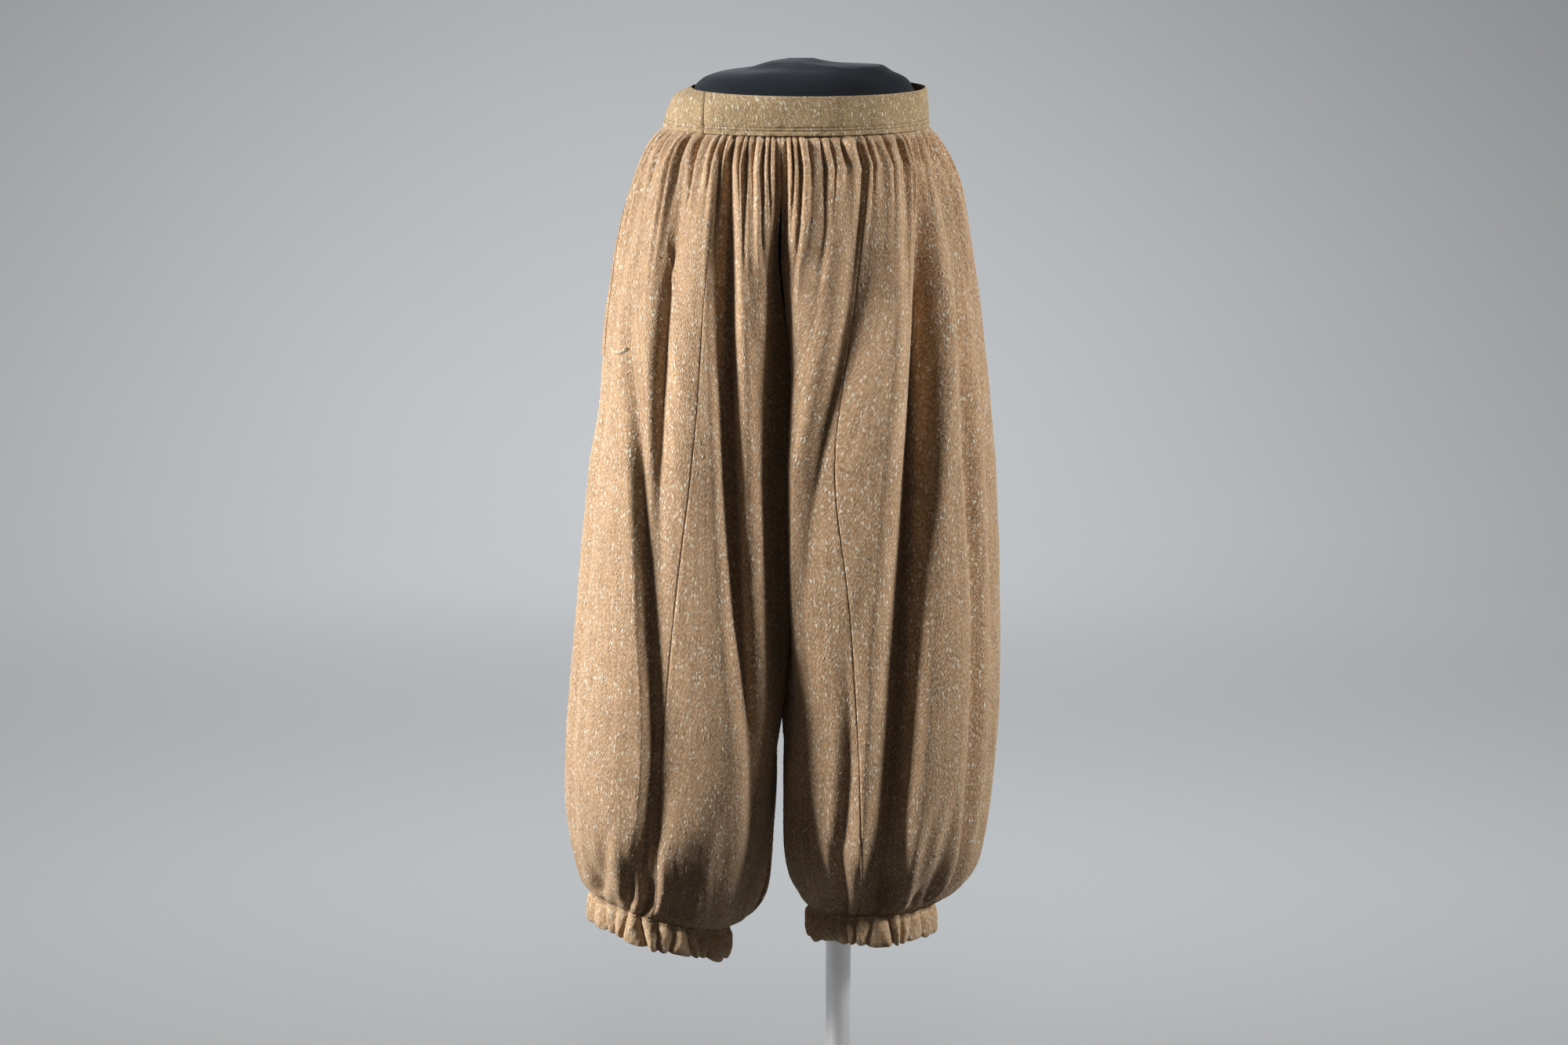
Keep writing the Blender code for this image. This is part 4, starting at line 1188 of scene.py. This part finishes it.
def casing_point(leg, drop, inset):
    base, normal, share = CASING_RINGS[leg.name]
    below = max(drop - STITCH_DROP, 0) / CASING_HEIGHT
    wander = CASING_TWIST * below * np.sin(29 * share + 2 * leg.side) * np.sin(np.pi * share)
    wave = ruffle_wave(share + wander)
    around = 2 * np.pi * np.arange(len(wave)) / len(wave)
    swell, ruffle = casing_swell(drop)
    uneven = 0.5 * np.sin(7 * around + 1) + 0.4 * np.sin(16 * around + drop * 0.2)
    waver = 0.22 * np.sin(53 * around + 0.5 * drop) * eased(drop, 4, 14)
    moved = swell + RUFFLE_DEPTH * ruffle * wave * (1 + 0.12 * uneven) + uneven * 0.5 + waver - inset
    last = leg.levels[-1]
    level = last._replace(height=last.height - SEAM_GAP - drop)
    points = lifted(leg, level, base, normal, moved)
    scallop = 1.5 * wave + 1.2 * np.sin(5 * around + 0.7) + 0.6 * np.sin(13 * around)
    points[:, 2] -= eased(drop, 8, CASING_HEIGHT) * scallop
    return points


drops, insets = section_drops(CASING_HEIGHT, CASING_WALL, CASING_STEPS, CASING_CORNER)
for leg in LEGS:
    grid = np.array([casing_point(leg, drop, inset) for drop, inset in zip(drops, insets)])
    measured = grid[CASING_MEASURED]
    along = distances(np.concatenate([measured, measured[:1]]))
    across, down = -leg.side * along, -arc_lengths(drops, insets)
    piece = strip_of(f"{leg.name}_cuff_cloth", grid, across, down, casing_wool_painted_light, closed=True)
    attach(piece, "root")
    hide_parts(f"{leg.name}_cuff")
    print(piece.name, "cloth gathered from", round(along[-1]), "mm")

# %% [markdown]
# ## The side opening
# The opening at the wearer's right side is bound with a strip of the leg's own twill. It is made from the
# panel's points, moved out by the strip's thickness, so it follows every fold beneath it.

# %% Build the placket
PLACKET_FIRST_LINE = 3  # the panel's first lines of points lie in the waist seam, above the placket
PLACKET_LOWEST_ROW = 6.2  # a place in the table of levels
PLACKET_COLUMNS = 4
PLACKET_CLOTH = 1.3
PLACKET_LIFT = 0.3
PLACKET_GROOVE = 0.4
PLACKET_STITCHES = ((0.30, 0.05), (0.86, 0.035))  # each row's place and its groove's reach, in widths

right_front = panels["right_leg_front"]
placket_lines = int(np.searchsorted(row_places(LEGS[0]), PLACKET_LOWEST_ROW)) + 2
placket_columns = int(np.searchsorted(panel_columns(0, seam_column(LEGS[0])), PLACKET_COLUMNS)) + 1
covered = np.s_[PLACKET_FIRST_LINE:placket_lines, :placket_columns]
skin = right_front.outside[covered]
away = unit(skin - right_front.inside[covered])
shares = np.linspace(0, 1, placket_columns)
pressed_edges = np.clip(8 * shares, 0.35, 1) * np.clip(10 * (1 - shares), 0.3, 1)
raised = PLACKET_LIFT + PLACKET_CLOTH * pressed_edges
for row, reach in PLACKET_STITCHES:
    raised -= PLACKET_GROOVE * bell(shares, row, reach)
placket_top = skin + away * raised[None, :, None]
placket = wall_of(
    "placket_cloth", placket_top, skin + away * PLACKET_LIFT * 0.3,
    right_front.across[covered], right_front.down[covered], wool,
)
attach(placket, "root")
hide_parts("placket")
flat_length = np.ptp(right_front.down[covered]) * MM

# %% [markdown]
# ## Stitches
# A stitch is a short length of thread that dips into the cloth at both ends. All the stitches of one row
# go into one mesh, each a thin rod bent up in its middle. A curve per stitch would look the same, but a
# thousand objects are slow to handle. Real rows are never quite even, so lengths and leans differ.


# %% Thin rods, many to a mesh
def rods(name, paths, radii, corners, finish):
    """One mesh of thin rods: paths holds each rod's points in millimetres, radii one value a point."""
    count, steps = paths.shape[:2]
    along = unit(paths[:, -1] - paths[:, 0])
    aside = np.where(np.abs(along[:, 2:]) < 0.8, [[0.0, 0.0, 1.0]], [[1.0, 0.0, 0.0]])
    first = unit(np.cross(along, aside))
    second = np.cross(along, first)
    angle = 2 * np.pi * np.arange(corners) / corners
    ring = first[:, None] * np.cos(angle)[:, None] + second[:, None] * np.sin(angle)[:, None]
    points = paths[:, :, None] + ring[:, None] * np.asarray(radii)[..., None, None]
    i, j = np.meshgrid(np.arange(steps - 1), np.arange(corners), indexing="ij")
    near, far = i * corners + j, i * corners + (j + 1) % corners
    sides = np.stack([near, far, far + corners, near + corners], -1).reshape(-1, 4)
    starts = np.arange(count)[:, None, None] * steps * corners
    ends = np.stack([np.arange(corners)[::-1], np.arange(corners) + (steps - 1) * corners])
    faces = (sides[None] + starts).reshape(-1, 4).tolist()
    faces += (ends[None] + starts).reshape(-1, corners).tolist()
    made = finished(name, turned_outside(mesh_of(name, points, faces)), finish)
    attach(made, "root")
    return made


STITCH_RADII = (0.16, 0.26, 0.26, 0.16)
STITCH_SHARES = np.array([0.0, 0.25, 0.75, 1.0])
STITCH_SUNK = 0.25
STITCH_FACES = 14
dice = np.random.default_rng(12)


def stitches_along(line, away, length, gap, lift):
    """Paths of stitches along a line of points, with its outward directions, all in millimetres."""
    along = distances(line)
    starts = np.arange(gap, along[-1] - length, length + gap)
    starts = starts + dice.uniform(-0.15, 0.15, len(starts)) * length
    lengths = length * dice.uniform(0.85, 1.1, len(starts))
    at = starts[:, None] + lengths[:, None] * STITCH_SHARES
    path, out = read_off(at, along, line), read_off(at, along, away)
    return path + out * np.array([-STITCH_SUNK, lift, lift, -STITCH_SUNK])[:, None]


# %% Sew the band, the casings and the placket
def band_stitches(row):
    drop = BAND_HEIGHT - row
    angle = np.linspace(-np.pi, np.pi, 1200)
    line = band_point(angle, drop, 0.0)
    away = line - band_point(angle, drop, 1.0)
    return stitches_along(line, away, length=2.1, gap=0.7, lift=0.45)


def casing_stitches(leg):
    line = casing_point(leg, STITCH_DROP, 0.0)
    away = line - casing_point(leg, STITCH_DROP, 1.0)
    return stitches_along(line, away, length=2.4, gap=0.9, lift=0.45)


def placket_stitches(share):
    at = share * (placket_columns - 1)
    low, part = int(at), at % 1
    line = placket_top[:, low] * (1 - part) + placket_top[:, low + 1] * part
    return stitches_along(line, away[:, low], length=2.3, gap=0.8, lift=0.15)


sewn = [
    rods("band_topstitching", np.concatenate([band_stitches(row) for row in STITCH_ROWS]),
         STITCH_RADII, 4, thread),
    rods("placket_topstitching", np.concatenate([placket_stitches(share) for share, _ in PLACKET_STITCHES]),
         STITCH_RADII, 4, thread),
]
for leg in LEGS:
    name = f"{leg.name}_casing_stitching"
    sewn.append(rods(name, casing_stitches(leg), STITCH_RADII, 4, cream_thread))
print("stitches:", sum(len(piece.data.polygons) // STITCH_FACES for piece in sewn))

# %% [markdown]
# ## The bar tack
# The foot of the side opening is held by a bar tack: thread sewn over and over along a small crescent, so
# that it stands up in close cream loops. Each loop lies across the crescent.

# %% Sew the bar tack
TACK_MIDDLE = np.array([-217.0, 808.0])
TACK_RADIUS = 9.0
TACK_LOOPS = 26
TACK_LOOP = 4.2


def on_cloth(panel, x, z):
    """The panel's outer point that lies nearest to x and z, and its outward direction."""
    apart = (panel.outside[..., 0] - x) ** 2 + (panel.outside[..., 2] - z) ** 2
    i, j = np.unravel_index(np.argmin(apart), apart.shape)
    return panel.outside[i, j], unit(panel.outside[i, j] - panel.inside[i, j])


paths = []
for angle in np.linspace(np.radians(200), np.radians(345), TACK_LOOPS):
    way = np.array([np.cos(angle), np.sin(angle)])
    x, z = TACK_MIDDLE + way * TACK_RADIUS * np.array([1.0, 0.8])
    place, out = on_cloth(right_front, x, z)
    place = place + [x - place[0], 0, z - place[2]]
    lean = np.array([way[0], 0, way[1]]) * TACK_LOOP / 2 * dice.uniform(0.75, 1.15)
    lift = PLACKET_CLOTH + np.array([-0.3, 0.8, 0.8, -0.3])
    paths.append([place + lean * (2 * share - 1) + out * up for share, up in zip(STITCH_SHARES, lift)])
rods("bar_tack", np.array(paths), (0.2, 0.36, 0.36, 0.2), 5, cream_thread)
print("bar tack loops:", TACK_LOOPS)

# %% [markdown]
# ## Neps and loose fibres
# Brushed wool isn't smooth at its edges. Pale neps stand up from the surface, and thousands of fine
# fibres stick out and catch the light along the outline. Both are scattered evenly by area, so that a
# stretched part gets as many to the square centimetre as a gathered one.

# %% Scatter neps and fibres
NEPS_TO_CM2 = 0.85
FIBRES_TO_CM2 = 0.8
CM2 = 100  # in square millimetres


def scattered(panel, to_cm2):
    """Random places on a panel, with their outward and downward directions."""
    corner, right, below = panel.outside[:-1, :-1], panel.outside[:-1, 1:], panel.outside[1:, :-1]
    area = np.linalg.norm(np.cross(right - corner, below - corner), axis=2)
    count = int(area.sum() / CM2 * to_cm2)
    cell = dice.choice(area.size, count, p=(area / area.sum()).ravel())
    i, j = np.unravel_index(cell, area.shape)
    u, v = dice.random((2, count, 1))
    grids = panel.outside, panel.inside
    place, under = ((grid[i, j] * (1 - u) + grid[i, j + 1] * u) * (1 - v)
                    + (grid[i + 1, j] * (1 - u) + grid[i + 1, j + 1] * u) * v for grid in grids)
    return place, unit(place - under), unit(panel.outside[i + 1, j] - panel.outside[i, j])


def leaning(out, down, spread):
    turn = dice.normal(0.12, spread, (len(out), 1))
    return down * np.cos(turn) + np.cross(out, down) * np.sin(turn)


def nep_paths(panel):
    place, out, down = scattered(panel, NEPS_TO_CM2)
    way = leaning(out, down, 0.45) * dice.uniform(0.6, 2.3, (len(place), 1))
    lift = dice.uniform(0.1, 0.35, (len(place), 1))
    return np.stack([place - way, place + out * lift, place + way], axis=1)


def fibre_paths(panel):
    place, out, down = scattered(panel, FIBRES_TO_CM2)
    way = leaning(out, down, 1.2)
    long = dice.uniform(1.6, 4.6, (len(place), 1))
    rise = dice.uniform(0.15, 0.75, (len(place), 1))
    tip = place + (way * (1 - rise) + out * rise) * long
    middle = place + (way * (1 - rise) * 0.35 + out * rise * 0.65) * long
    return np.stack([place - out * 0.2, middle, tip], axis=1)


def pale_finish(name, dark, light):
    made = Finish(name)
    grain = made.noise(made.own_place(), 500.0, 2.0)
    return made.surface(Base_Color=made.mixed(grain, dark, light), Roughness=0.9, Specular_IOR_Level=0.1,
                        Sheen_Weight=0.3)


nep_wool = pale_finish("nep_wool", (0.70, 0.61, 0.46, 1), (0.90, 0.83, 0.70, 1))
fibre_wool = pale_finish("fibre_wool", (0.52, 0.38, 0.24, 1), (0.82, 0.68, 0.50, 1))
for node, panel in panels.items():
    paths = nep_paths(panel)
    thick = dice.uniform(0.16, 0.42, (len(paths), 1)) * np.array([0.35, 1.0, 0.35])
    rods(node + "_neps", paths, thick, 3, nep_wool)
    hairs = fibre_paths(panel)
    rods(node + "_fibres", hairs, np.array([0.09, 0.07, 0.03]), 3, fibre_wool)
    print(node, "neps:", len(paths), "fibres:", len(hairs))

# %% [markdown]
# ## The dress form and its stand
# The form is a padded torso under navy jersey, which shows as a low, uneven dome in the band's mouth. Its
# pole and collar are turned steel. The base lies below the picture's edge, so a plain round plate stands in
# for it. All of them are turned or lofted again here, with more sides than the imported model.

# %% Build the stand
FormLevel = namedtuple("FormLevel", "height left right depth nod")
FORM = (
    FormLevel(1088.6, -50, -26, 14, 0),
    FormLevel(1086, -66, -14, 30, 0),
    FormLevel(1083.5, -76, 2, 40, 0),
    FormLevel(1081.3, -84, 38, 50, 1),
    FormLevel(1078.5, -94, 47, 58, 2),
    FormLevel(1075, -118, 53, 68, 3),
    FormLevel(1070, -133, 64, 77, 5),
    FormLevel(1064, -141, 70, 83, 7),
    FormLevel(1058, -144.6, 73, 86.6, 9),
    FormLevel(1048, -146, 79, 86.0, 9),
    FormLevel(1021, -156, 81.5, 85.0, 8),
    FormLevel(985, -168, 90, 92, 5),
    FormLevel(940, -182, 98, 97, 2),
    FormLevel(905, -180, 96, 92, 0),
    FormLevel(878, -166, 84, 76, 0),
    FormLevel(856, -140, 62, 56, 0),
    FormLevel(841.6, -100, 44, 42, 0),
)
FORM_SIDES, FORM_ROWS = 96, 79
POLE_RADIUS, POLE_TOP = 12.6, 829.0
SOCKET_FLOOR = 9.0
COLLAR_RADIUS, COLLAR_HEIGHT = 30.0, 12.0
BASE_PROFILE = (
    (0, SOCKET_FLOOR), (POLE_RADIUS + SEAM_GAP, SOCKET_FLOOR), (POLE_RADIUS + SEAM_GAP, 36),
    (19, 36), (21, 34), (22, 15), (30, 11), (176, 9), (180, 6), (180, 0), (0, 0),
)


def loft(name, rings, finish):
    """A body from rings of points, closed at both ends."""
    number = numbered(rings)
    sides = quads(np.concatenate([number, number[:, :1]], axis=1))
    ends = [number[0][::-1].tolist(), number[-1].tolist()]
    made = finished(name, turned_outside(mesh_of(name, rings, sides.tolist() + ends)), finish)
    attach(made, "root")
    return made


def turned(profile, angle):
    """Rings of points from a profile of radii and heights, with a point at each angle."""
    return np.array([[(x * np.cos(a), x * np.sin(a), z) for a in angle] for x, z in profile])


def lathe(name, profile, finish, sides=96):
    kept = [(max(x, 0.01), z) for x, z in profile]
    return loft(name, turned(kept, np.arange(sides) * 2 * np.pi / sides), finish)


def rounded_rod(radius, top, foot, edge=0.6):
    upper = (0, top), (radius - edge, top), (radius, top - edge)
    lower = (radius, foot + edge), (radius - edge, foot), (0, foot)
    return upper + lower


form_angle = np.arange(FORM_SIDES) * 2 * np.pi / FORM_SIDES
form_rings = []
for row in np.linspace(0, len(FORM) - 1, FORM_ROWS):
    level = FormLevel(*smooth_between(row, np.arange(len(FORM)), np.array(FORM)))
    middle, half = middle_and_half(level.left, level.right)
    x = middle + half * np.cos(form_angle)
    slack = 0.8 * np.sin(3 * form_angle + 1) + 0.5 * np.sin(8 * form_angle + 0.25 * level.height)
    slack *= eased(level.height, 1045, 1062) * (1 - eased(level.height, 1080, 1087))
    lean = level.nod * np.sin(form_angle) + slack
    form_rings.append(np.stack([x, level.depth * np.sin(form_angle), level.height + lean], -1))
form = loft("form_torso_cover", np.array(form_rings), jersey)
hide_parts("form_torso")

pole = lathe("pole_tube", rounded_rod(POLE_RADIUS, POLE_TOP, SOCKET_FLOOR + SEAM_GAP), steel)
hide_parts("pole")
collar_foot = POLE_TOP + SEAM_GAP
collar_profile = rounded_rod(COLLAR_RADIUS, collar_foot + COLLAR_HEIGHT, collar_foot)
collar = lathe("pole_collar_ring", collar_profile, steel)
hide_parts("pole_collar")
base = lathe("base_plate_disc", BASE_PROFILE, paint, 144)
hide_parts("base_plate")
print("stand pieces:", form.name, pole.name, collar.name, base.name)

# %% [markdown]
# ## The studio
# The object stands in a round grey room whose wall curves into the floor, so no corner shows from any
# side. The room is lit by lights of its own, one to each side of its floor, and its paint glows a little
# to even them out. The object is lit by two narrow softboxes that rake across it, a strong one at the left
# and a weaker one at the right, so each long fold has a bright flank and a dark one. A weak low light in
# front lifts the cuffs, and two from behind light the back. Keeping the two groups apart is what a
# photographer does with flags and distance: the pale room doesn't fill the deep folds, and they stay dark.

# %% Build the room
ROOM_RADIUS, ROOM_HEIGHT, COVE = 8.0, 7.0, 3.0
ROOM_SIDES = 96
ROOM_GLOW = 0.07


def room_finish():
    made = Finish("studio_paint")
    place = made.own_place()
    cloud = made.noise(place, 0.8, 2.0)
    colour = made.mixed(cloud, (0.565, 0.575, 0.59, 1), (0.595, 0.605, 0.62, 1))
    return made.surface(Base_Color=colour, Roughness=1.0, Specular_IOR_Level=0.0,
                        Emission_Color=(0.95, 0.98, 1.0, 1), Emission_Strength=ROOM_GLOW)


def build_room():
    turn = np.linspace(0, np.pi / 2, 17)
    curve = [(ROOM_RADIUS - COVE + COVE * np.sin(t), COVE - COVE * np.cos(t)) for t in turn]
    profile = [(0.01, 0.0), (2.0, 0.0)] + curve + [(ROOM_RADIUS, ROOM_HEIGHT)]
    rings = turned(profile, np.arange(ROOM_SIDES + 1) * 2 * np.pi / ROOM_SIDES)
    mesh = mesh_of("studio_room", rings / MM, quads(numbered(rings)).tolist())
    room = finished("studio_room", mesh, room_finish())
    room.visible_diffuse = False
    room.visible_shadow = False
    return room


room = build_room()
room_only = bpy.data.collections.new("room_only")
room_only.objects.link(room)
all_but_room = bpy.data.collections.new("all_but_room")
all_but_room.objects.link(room)
all_but_room.collection_objects[0].light_linking.link_state = "EXCLUDE"
print("room radius in m:", ROOM_RADIUS)

# %% Light the room and the object
Lamp = namedtuple("Lamp", "name place aim size watts spread colour lights")
OBJECT_MIDDLE = (-0.05, 0.0, 0.62)
COOL_WHITE = (0.97, 0.99, 1.0)
WARM_WHITE = (1.0, 0.98, 0.94)
LAMPS = (
    Lamp("left_softbox", (-2.9, -0.56, 1.7), OBJECT_MIDDLE, 0.8, 39, 80, (1.0, 0.985, 0.955), all_but_room),
    Lamp("right_softbox", (2.8, -0.66, 2.1), (-0.05, 0.0, 0.72), 0.8, 22, 80, WARM_WHITE, all_but_room),
    Lamp("front_light", (-0.3, -4.4, 0.7), (-0.05, 0.0, 0.2), 1.2, 6, 180, (1.0, 0.95, 0.88), all_but_room),
    Lamp("right_back_light", (1.2, 3.1, 2.0), OBJECT_MIDDLE, 1.0, 20, 180, (1.0, 0.97, 0.94), all_but_room),
    Lamp("left_back_light", (-1.3, 3.1, 2.0), OBJECT_MIDDLE, 1.0, 22, 180, (1.0, 0.98, 0.96), all_but_room),
    Lamp("near_floor_light", (0.0, 1.3, 2.6), (0.0, 1.3, 0.0), 1.5, 42, 180, COOL_WHITE, room_only),
    Lamp("far_floor_light", (-0.25, 5.2, 3.0), (-0.25, 5.4, 0.0), 1.2, 70, 180, COOL_WHITE, room_only),
    Lamp("front_floor_light", (0.0, -5.0, 3.0), (0.0, -5.4, 0.0), 1.2, 75, 180, COOL_WHITE, room_only),
    Lamp("left_floor_light", (-5.0, 0.0, 3.0), (-5.4, 0.0, 0.0), 1.2, 55, 180, COOL_WHITE, room_only),
    Lamp("right_floor_light", (5.0, 0.0, 3.0), (5.4, 0.0, 0.0), 1.2, 55, 180, COOL_WHITE, room_only),
    Lamp("round_light", (0.0, 0.0, 6.5), (0.0, 0.0, 0.0), 4.0, 4, 180, COOL_WHITE, room_only),
)
WORLD_LIGHT = 0.018


def area_light(lamp):
    light = bpy.data.lights.new(lamp.name, "AREA")
    light.shape = "DISK"
    light.size = lamp.size
    light.energy = lamp.watts
    light.spread = np.radians(lamp.spread)
    light.color = lamp.colour
    made = bpy.data.objects.new(lamp.name, light)
    made.location = lamp.place
    made.rotation_euler = (Vector(lamp.aim) - Vector(lamp.place)).to_track_quat("-Z", "Y").to_euler()
    made.visible_camera = False
    made.light_linking.receiver_collection = lamp.lights
    bpy.context.scene.collection.objects.link(made)


for lamp in LAMPS:
    area_light(lamp)
world = bpy.data.worlds.new("studio_air")
world.use_nodes = True
air = world.node_tree.nodes["Background"].inputs
air["Color"].default_value = (1.0, 0.92, 0.82, 1)
air["Strength"].default_value = WORLD_LIGHT
bpy.context.scene.world = world
print("lights:", len(bpy.data.lights))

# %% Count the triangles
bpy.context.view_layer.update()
triangles = {}
for made in bpy.data.objects:
    if made.type == "MESH":
        made.data.calc_loop_triangles()
        triangles[made.name] = len(made.data.loop_triangles)
print("triangles:", sum(triangles.values()), "most in one piece:", max(triangles.values()))
